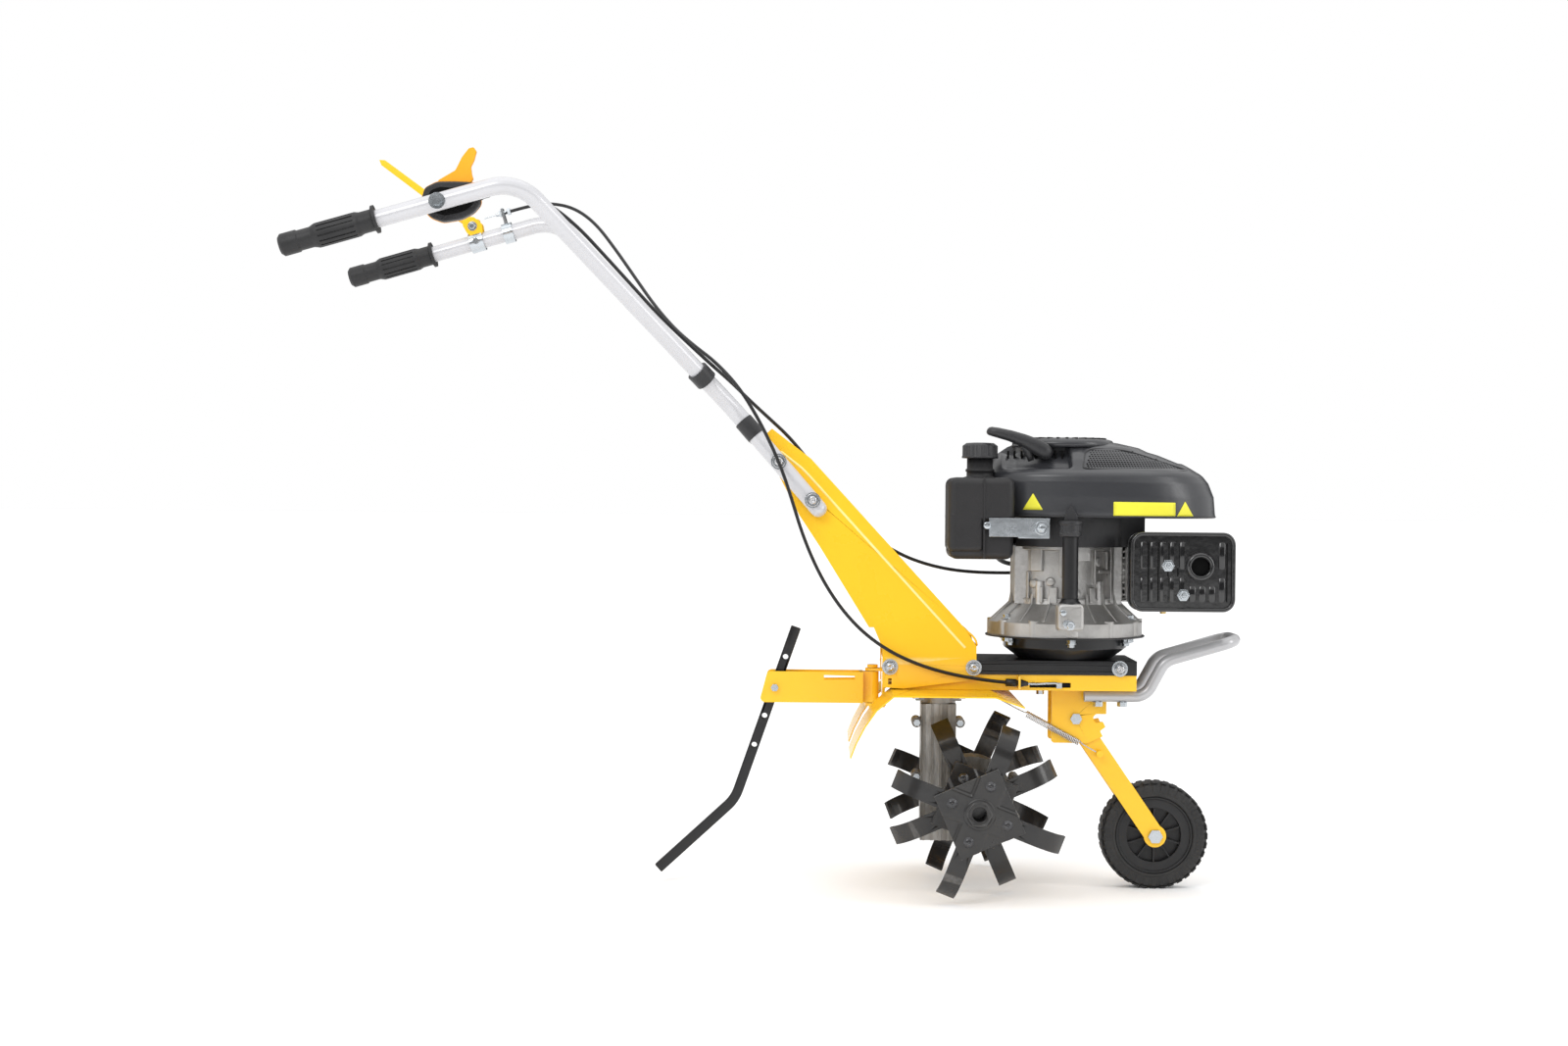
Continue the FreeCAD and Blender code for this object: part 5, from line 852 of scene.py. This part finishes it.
WALL_RIBS = [
    # angle, bottom, top, width, reach
    (-168, 424, 508, 7, 80), (-152, 424, 452, 14, 81), (-140, 424, 470, 5, 79), (-128, 470, 508, 20, 80),
    (-121, 424, 448, 5, 82), (-108, 424, 447, 12, 82), (-100, 462, 508, 6, 80), (-78, 486, 508, 26, 81),
    (-66, 424, 447, 10, 82), (-62, 452, 508, 4, 80), (-50, 468, 473, 24, 80), (-46, 473, 500, 5, 81),
    (-38, 424, 508, 8, 82), (-30, 424, 508, 5, 84), (168, 424, 508, 7, 80), (150, 424, 452, 14, 81),
    (138, 424, 470, 6, 79), (122, 470, 508, 20, 80), (106, 424, 447, 12, 82), (92, 462, 508, 6, 80),
    (70, 424, 508, 8, 80), (50, 424, 508, 8, 82),
]
piece("BlockRibs", merge(*[wall_rib(*row) for row in WALL_RIBS]), CASTING, bevel=1.5)
piece("BlockSeams", merge(
    lathe_shape((CRANK_X, 0, 428), UP, [(0, 78.5), (0.6, 79.4), (1.8, 79.4), (2.4, 78.5)], 128),
    lathe_shape((CRANK_X, 0, 500), UP, [(0, 76), (2, 80.5), (7, 80.5), (7.2, 76)], 128)),
      CASTING, bevel=0.4)
pads = []
for angle, z in ((-112, 455), (-84, 440), (-58, 484), (-132, 452), (118, 450), (80, 470)):
    a = math.radians(angle)
    pads.append(lathe_shape(round_crank(angle, 72, z), (math.cos(a), math.sin(a), 0),
                            [(0, 7), (7, 6.4), (8, 5.4), (8.2, 2)], 24))
piece("BlockBosses", merge(*pads), CASTING)

# sump boss beside the filler, with its screws
rounded_block("FillerBoss", (419, 457, -157, -118, 388, 427), 6, CASTING)
piece("BossScrews", merge(
    lathe_shape((437, -157, 396), NEAR, [(0, 7.5), (1.2, 7.5), (1.3, 5.8), (6, 5.8), (7, 4.5)], 6),
    lathe_shape((427, -157, 414), NEAR, [(0, 5), (0.8, 5), (3, 4.2), (3.8, 2)], 24)),
      ZINC, bevel=0.4)

# barrel webs seen between the crankcase and the silencer
webs = [block_shape(528 + 9 * k, 533 + 9 * k, -66, -40, 432, 505) for k in range(4)]
piece("BarrelWebs", merge(*webs), CASTING, bevel=1.2)

# round plate and the nuts under it
piece("AdaptorPlate", lathe_shape((CRANK_X, 0, 372.6), UP, [
    (0, 60), (0.2, 117.5), (1.6, 118), (2.6, 117.5), (2.7, 60)], 128), BLACK_ENAMEL)
piece("AdaptorNuts", merge(*round_studs(98, 361, [
    (0, 5.5), (4, 5.5), (4.2, 8), (6, 8), (6.2, 6.5), (12, 6.5)], 6)), ZINC, bevel=0.4)


# ------------------------------------------------------------------ silencer

def louvre(x, face, low, high):
    """A pressed half-round louvre with tapered ends, as an open sheet on the silencer's face."""
    points = []
    for z, scale, depth in ((low, 0.55, 0.1), (low + 5, 1, 1), (high - 5, 1, 1), (high, 0.55, 0.1)):
        for k in range(9):
            angle = math.pi * k / 8
            points.append((x - math.cos(angle) * 5.4 * scale,
                           face + 1.5 - math.sin(angle) ** 0.7 * 3.4 * depth, z))
    return points, [(r * 9 + k, r * 9 + k + 1, (r + 1) * 9 + k + 1, (r + 1) * 9 + k)
                    for r in range(3) for k in range(8)]


def silencer():
    x0, x1, z0, z1, face = 527, 671, 419, 527, -135
    outlet_x, outlet_z, corner = 624, 481, 15
    outline = []
    for cx, cz, start in ((x1 - corner, z1 - corner, 0), (x0 + corner, z1 - corner, 90),
                          (x0 + corner, z0 + corner, 180), (x1 - corner, z0 + corner, 270)):
        for k in range(8):
            angle = math.radians(start + 90 * k / 7)
            outline.append((cx + corner * math.cos(angle), face - 2.2, cz + corner * math.sin(angle)))
    tube_piece("SilencerLip", outline, 3.0, GLOSS_BLACK, order=2, closed=True)
    middle_x, middle_z = (x0 + x1) / 2, (z0 + z1) / 2
    seam = [(middle_x + (x - middle_x) * 1.012, -102, middle_z + (z - middle_z) * 1.012)
            for x, _, z in outline]
    tube_piece("SilencerSeam", seam, 1.8, GLOSS_BLACK, order=2, closed=True)
    louvres = []
    for index in range(9):
        x = x0 + 16 + 14 * index
        if abs(x - outlet_x) < 24:
            louvres.append(louvre(x, face, z0 + 9, 455))
        else:
            louvres += [louvre(x, face, z0 + 9, z0 + 48), louvre(x, face, z0 + 56, z0 + 99)]
    piece("SilencerLouvres", merge(*louvres), GLOSS_BLACK)
    # painted shade: near-black strips in the grooves between the louvres
    piece("LouvreGrooves", merge(*[
        block_shape(x0 + 22 + 14 * k, x0 + 24 + 14 * k, face - 0.25, face + 0.5, z0 + 12, z0 + 96)
        for k in (0, 1, 2, 3, 8)]), DARK, bevel=0.1)
    piece("SilencerOutlet", lathe_shape((outlet_x, face - 8, outlet_z), (0, 1, 0), [
        (9, 22), (4, 21), (1.0, 19), (0, 17), (0, 14.5), (2, 13.2), (12, 13.1), (12, 21)], 64, ring=True),
          GLOSS_BLACK)
    # painted shade: a near-black disc inside the outlet's bore
    piece("SilencerBore", lathe_shape((outlet_x, face + 4, outlet_z), (0, 1, 0), [
        (0, 12.6), (0.4, 12.6)], 40),
          DARK, smooth=False)
    nuts = []
    for x, z in ((578, 482), (600, 440)):
        spot = (x, face - 0.5, z)
        nuts.append(lathe_shape(spot, NEAR, [
            (0, 9.5), (1.6, 9.5), (1.7, 6.4), (7.4, 6.4), (8.2, 5.2)], 6))
        nuts.append(lathe_shape(spot, NEAR, [(7.6, 3), (10.4, 3), (11, 2.2)], 24))
    piece("SilencerNuts", merge(*nuts), ZINC, bevel=0.5)
    piece("DrainBolt", lathe_shape((575, -110, 419), (0, 0, -1), [
        (0, 6), (1.5, 6), (1.6, 4.6), (6, 4.6), (7, 3.6)], 6), BRASS, bevel=0.4)


silencer()


# ------------------------------------------------------------------ carburettor and air filter

def intake():
    body = piece("CarburettorBody", merge(
        block_shape(546, 576, 67, 99, 453, 485),
        lathe_shape((561, 83, 435), UP, [(0, 9), (1, 12.5), (5, 13.8), (17, 13.8), (19, 12)], 40),
        lathe_shape((561, 98, 468), (0, 1, 0), [(0, 14), (7.6, 14)], 40),
        lathe_shape((546, 90, 479), (-1, 0, 0), [(0, 4.4), (1, 4.4), (1, 3.4)], 24)), CASTING, bevel=1.2)
    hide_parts("carburettor")
    rounded_block("FilterBody", (507, 617, 107, 135, 447, 515), 6, BLACK_PLASTIC)
    lid = rounded_block("FilterLid", (506, 618, 134, 147.5, 446, 516), 5, BLACK_PLASTIC)
    lines = [block_shape(520 + 12 * k, 523 + 12 * k, 146.5, 148, 458, 504) for k in range(8)]
    piece("FilterLines", merge(*lines), BLACK_PLASTIC, bevel=0.7)


intake()


# ------------------------------------------------------------------ column, tray and frame

def half_width(z):
    """The column's half width at a height: it narrows above its foot."""
    return 73 - (73 - 36) / 325 * max(0.0, z - 345)


# painted highlight: a pale bead along the column's front edge, standing in for the light on its bend; and
# the rolled lip at its foot
for side, tag in SIDES:
    edge = [(302, 365.5), (288, 380.5), (63.5, 624), (30, 650)]
    tube_piece("ColumnFoldHighlight" + tag, [(x - 8.6, side * (half_width(z) - 0.2), z - 8) for x, z in edge], 2.1,
               HIGHLIGHT_YELLOW, order=2)
lip = [(293.5, -60, 384), (296.5, -66, 381.5), (301, -68.5, 378), (308, -69, 371), (310.5, -68, 364),
       (310.8, -64, 360)]
tube_piece("ColumnLip", lip + [(x, -y, z) for x, y, z in reversed(lip)], 1.5, YELLOW, closed=True)

# boot, guide tab and pull hook where the clutch cable enters the tray
piece("CableBoot", lathe_shape((352, -77, 308.4), (1, 0.03, -0.055), [
    (0, 3.2), (1, 5.6), (16, 5.6), (17, 4.4), (19, 4.4), (20, 5.4), (24, 5.4), (33, 3.0)], 40),
      SHEATH)
piece("CableTab", block_shape(370.5, 373.5, -86, -66, 299, 318), YELLOW, bevel=0.9)
tube_piece("PullRod", [(384, -76, 306.4), (400, -77, 306.3), (414, -79, 307.5), (424, -79.5, 308),
                       (431, -79.5, 306), (431, -76.5, 302)], 1.7, ZINC, order=2)
slot = prism_shape([(389, 301), (447, 301), (447, 307), (389, 307)], -67.9, -67.2)
piece("SlotShadow", slot, DARK, smooth=False)

# rounded bar ends past the lower screws
for side, tag in SIDES:
    foot = Vector((78, side * (half_width(558) + 12.9), 558))
    run = Vector((128, side * 10, -146.7)).normalized()
    piece("BarEnd" + tag, lathe_shape(foot - run * 4, run, [
        (0, 11), (4, 12.3), (8, 11.6), (12, 9), (14.5, 5), (15.2, 1)], 40),
          SILVER, slot="silver_paint")


def bolt_crowns():
    """Spring washers round the frame's hexagon heads, and the stamped crown on each."""
    washers, crowns = [], []
    for x, z, face in ((184, 329, 73), (306, 329, 73), (519, 329, 70), (19, 627, half_width(627) + 26.4),
                       (69, 571, half_width(571) + 26.4)):
        for side in (RIGHT, LEFT):
            washers.append(lathe_shape((x, side * (face + 2), z), (0, side, 0), [
                (0, 7.7), (1.5, 7.7), (1.7, 8.1), (1.7, 9.2), (1.4, 9.6), (0, 9.6)], 36, ring=True))
            crowns.append(lathe_shape((x, side * (face + 8.4), z), (0, side, 0), [
                (0, 6.4), (0.9, 5.6), (1.9, 4.2), (2.2, 2.6), (1.2, 2.3), (1.2, 0.4)], 36))
    piece("SpringWashers", merge(*washers), STEEL)
    piece("BoltCrowns", merge(*crowns), STEEL)


bolt_crowns()


# ------------------------------------------------------------------ tines

AXLE_X, AXLE_Z = 308, 132
PLATE_HALF = 49.0      # half a side of the square plate
PLATE_STEP = 2.8       # how far the pressed cross stands up
PLATE_BORE = 15.8
SCREW_CIRCLE = 42


def star_plate(face, side, phase):
    """Pressed square plate with a raised cross towards its corners and lower fields between the arms.

    It is a grid with a round bore; p and q run along its sides, u and v along its diagonals."""
    count = 64
    turn = math.radians(phase + 45)
    top, bottom = {}, {}
    points, faces = [], []

    def place(p, q, lift):
        x = p * math.cos(turn) - q * math.sin(turn)
        z = p * math.sin(turn) + q * math.cos(turn)
        points.append((AXLE_X + x, side * (face + lift), AXLE_Z + z))
        return len(points) - 1

    for i in range(count + 1):
        for j in range(count + 1):
            p = PLATE_HALF * (2 * i / count - 1)
            q = PLATE_HALF * (2 * j / count - 1)
            u, v = abs(p + q) / math.sqrt(2), abs(p - q) / math.sqrt(2)
            raised = 1 - smooth_step(18.5, 22.0, min(u, v))
            top[i, j] = place(p, q, 0.3 + PLATE_STEP * raised)
            bottom[i, j] = place(p, q, -0.2)
    cells = [(i, j) for i in range(count) for j in range(count)
             if math.hypot(2 * i + 1 - count, 2 * j + 1 - count) / count * PLATE_HALF > PLATE_BORE]
    solid = set(cells)
    for i, j in cells:
        corners = [(i, j), (i + 1, j), (i + 1, j + 1), (i, j + 1)]
        faces.append(tuple(top[c] for c in corners))
        faces.append(tuple(bottom[c] for c in corners)[::-1])
        beside = ((i, j - 1), (i + 1, j), (i, j + 1), (i - 1, j))
        for m, neighbour in enumerate(beside):
            if neighbour not in solid:
                a, b = corners[m], corners[(m + 1) % 4]
                faces.append((top[b], top[a], bottom[a], bottom[b]))
    used = sorted({index for face_points in faces for index in face_points})
    renumber = {old: new for new, old in enumerate(used)}
    return [points[k] for k in used], [tuple(renumber[k] for k in f) for f in faces]


def star_screws(face, side, phase):
    heads = []
    for k in range(4):
        angle = math.radians(phase + 90 * k)
        spot = (AXLE_X + SCREW_CIRCLE * math.cos(angle), side * (face + PLATE_STEP),
                AXLE_Z + SCREW_CIRCLE * math.sin(angle))
        heads.append(lathe_shape(spot, (0, side, 0), [
            (0, 7.6), (0.9, 7.6), (1.0, 6.9), (2.6, 6.2), (3.8, 4.4), (4.3, 2.6), (4.3, 2.4), (2.9, 2.0),
            (2.9, 0.3)], 28))
    return merge(*heads)


def rotor_details(side, tag, *plates):
    """Plates and screws of one rotor, each plate a (face, phase), and the collar round its bore."""
    piece("StarPlates" + tag, merge(*[star_plate(face, side, phase) for face, phase in plates]),
          TINE_BLACK, "tines")
    piece("StarScrews" + tag, merge(*[star_screws(face, side, phase) for face, phase in plates]),
          BLACK_OXIDE, "tines")
    rings = []
    for face, segments, profile in (
            (203, 64, [(0, 23), (2.2, 22.6), (3.4, 21), (3.6, 19.4), (3.6, 15.2), (0, 15.2)]),
            (204.9, 6, [(0, 19), (1.4, 19), (2.0, 18), (2.0, 15.4), (0, 15.4)]),
            (204.9, 48, [(0, 15.6), (1.6, 15.3), (1.9, 14.2), (1.9, 11.4), (1.0, 10.5), (0, 10.4)])):
        rings.append(lathe_shape((AXLE_X, side * face, AXLE_Z), (0, side, 0), profile, segments,
                                 ring=True))
    piece("HubCollar" + tag, merge(*rings), TINE_BLACK, "tines")


rotor_details(RIGHT, "Right", (202, 68.7), (95, 23.7))
rotor_details(LEFT, "Left", (202, 21.3), (95, 66.3))


# ------------------------------------------------------------------ transport wheel

def wheel_spring():
    start, end = Vector((334, -35, 287)), Vector((495.1, -35, 200.9))
    end = end + (start - end).normalized() * 6.2
    run = end - start
    _, first, second = frame_of(run)
    points = [start + Vector((-4, 0, 4)), start, start + run * 0.06, start + run * 0.33]
    turns, per_turn, radius = 34, 10, 4.4
    for index in range(turns * per_turn + 1):
        angle = 2 * math.pi * index / per_turn
        share = 0.34 + 0.5 * index / (turns * per_turn)
        points.append(start + run * share
                      + (first * math.cos(angle) + second * math.sin(angle)) * radius)
    points += [start + run * 0.86, end]
    spring = tube_piece("WheelSpring", [tuple(p) for p in points], 0.95, SPRING_STEEL, as_mesh=True)
    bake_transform(spring)
    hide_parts("wheel_spring")


wheel_spring()

hub = (578.95, 0, 78.93)
tread = []
for k in range(36):
    for low, high, lean in ((-17, -3, 9), (3, 17, -9)):
        lug = block_shape(hub[0] - 4.6, hub[0] + 4.6, low, high, hub[2] + 76.5, hub[2] + 79.4)
        lug = turned(lug, (hub[0], (low + high) / 2, hub[2] + 78), (0, 0, 1), lean)
        tread.append(turned(lug, hub, (0, 1, 0), 10 * k + (5 if low > 0 else 0)))
shoulders = []
for k in range(36):
    for y0, y1, offset in ((-18.6, -15, 0), (15, 18.6, 5)):
        pad = block_shape(hub[0] - 3.4, hub[0] + 3.4, y0, y1, hub[2] + 64, hub[2] + 75)
        shoulders.append(turned(pad, hub, (0, 1, 0), 10 * k + offset))
piece("TyreLugs", merge(*tread, *shoulders), TYRE, "wheel", bevel=0.9, slot="tyre_rubber")


def wheel_rings(y, profile):
    return merge(*[lathe_shape((hub[0], side * y, hub[2]), (0, side, 0), profile, 96, ring=True)
                   for side in (RIGHT, LEFT)])


piece("TyreBeads", wheel_rings(17.2, [(-1.5, 62), (0.5, 62.4), (1.5, 60), (0.6, 57.5), (-2, 57)]),
      TYRE, "wheel")
piece("RimFlanges", wheel_rings(14, [(-2, 53), (1.4, 53), (2.6, 54), (2.8, 56), (1.6, 57.5), (-2, 57)]),
      RIM_PLASTIC, "wheel")


# ------------------------------------------------------------------ controls

def grow(outline, amount):
    """Push an outline's points away from its middle."""
    cx = sum(p[0] for p in outline) / len(outline)
    cz = sum(p[1] for p in outline) / len(outline)
    result = []
    for x, z in outline:
        far = math.hypot(x - cx, z - cz)
        result.append((cx + (x - cx) * (far + amount) / far, cz + (z - cz) * (far + amount) / far))
    return result


def throttle_box():
    """Rounded two-part housing of the throttle, yellow cover plate behind, beside the right bar."""
    outline = rounded_corners([
        (-481, 986), (-476, 1003), (-459, 1011.5), (-433, 1012), (-409, 1011), (-400, 1003),
        (-398, 980), (-408, 968), (-424, 959.5), (-450, 955), (-467, 961), (-479, 974)], 5)
    box = piece("ThrottleBox", prism_shape(outline, -224.5, -208), BLACK_PLASTIC, bevel=2.4,
                slot="black_plastic", angle=50)
    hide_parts("throttle_housing")
    piece("ThrottleLid", merge(prism_shape(grow(outline, -9), -225.6, -220),
                               prism_shape(grow(outline, -1.5), -218.4, -216.2)), DARK, bevel=0.8)
    rim = [(x - 1.5, z + 1.5) for x, z in grow(outline, 1.6)]
    piece("ThrottlePlate", prism_shape(rim, -207.6, -203.5), YELLOW_PLASTIC, bevel=1.2,
          slot="yellow_plastic")
    piece("ThrottleScrew", merge(
        lathe_shape((-454, -251.5, 981.3), NEAR, [(0, 9.5), (1.4, 9.5), (1.6, 8.6)], 40),
        lathe_shape((-454, -253, 981.3), NEAR, [(0, 6.6), (4.4, 6.6), (5.4, 5.2)], 6),
        lathe_shape((-454, -258, 981.3), NEAR, [(0, 3.4), (0.8, 3.2)], 20)), ZINC, bevel=0.5)
    piece("CableFerrule", lathe_shape((-402.5, -214, 990.8), (1, 0.05, 0.25), [
        (0, 5), (6, 4.8), (7, 4), (16, 3.6), (17, 3)], 32), SHEATH)


def throttle_fin():
    fin = rounded_corners([
        (-459, 1010), (-458, 1014.4), (-434.2, 1028.4), (-424.8, 1047.3), (-415.5, 1059.3), (-408.8, 1060.7),
        (-404.8, 1054.7), (-408.1, 1042.1), (-412.5, 1033), (-411, 1022), (-409, 1016), (-415, 1008)], 1.5)
    blade = piece("ThrottleFin", merge(prism_shape(fin, -217.5, -210.5),
                                       lathe_shape((-438, -220, 994), (0, 1, 0), [(0, 15), (9, 15)], 48)),
                  YELLOW_PLASTIC, "throttle_lever", bevel=1.8, slot="yellow_plastic", angle=50)
    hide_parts("throttle_lever")


def clutch_cheeks():
    """Yellow cheek plates of the clutch lever on the far bar, with its pivot screw."""
    px, pz = -476.9, 1000.77
    outline = rounded_corners([(px - 16, pz + 15), (px + 2, pz + 15), (px + 15, pz + 4), (px + 17, pz - 10),
                               (px + 6, pz - 20), (px - 8, pz - 12), (px - 16, pz + 2)], 3)
    piece("ClutchCheeks", merge(prism_shape(outline, 228.4, 231.4), prism_shape(outline, 247.4, 250.4)),
          YELLOW, "clutch_lever", bevel=0.8, angle=50)
    piece("ClutchScrew", merge(
        lathe_shape((px, 228.4, pz), NEAR, [(0, 7.5), (1.2, 7.5), (1.4, 6.8)], 32),
        lathe_shape((px, 227.2, pz), NEAR, [(0, 5.6), (3.6, 5.6), (4.4, 4.4)], 6)), ZINC, "clutch_lever",
        bevel=0.4)


def cable_adjuster():
    """Threaded adjuster of the clutch cable in its bracket, and the wire to the lever."""
    run = Vector((0.961, -0.0178, 0.2764))
    nose = Vector((-440.7, 238.8, 1019.5))
    piece("CableAdjuster", merge(
        lathe_shape(nose, run, [(0, 2.6), (0.5, 3.1), (25, 3.1), (26, 2.9)], 24),
        lathe_shape(nose + run * 6, run, [(0, 5.6), (3, 5.6)], 6),
        lathe_shape(nose + run * 19, run, [(0, 5.6), (5, 5.6)], 6)), ZINC, bevel=0.3)
    wire = [tuple(nose + run * k) for k in (1, -8, -19)]
    tube_piece("LeverWire", wire, 1.0, ZINC, order=2)


cable_adjuster()
throttle_box()
throttle_fin()
clutch_cheeks()
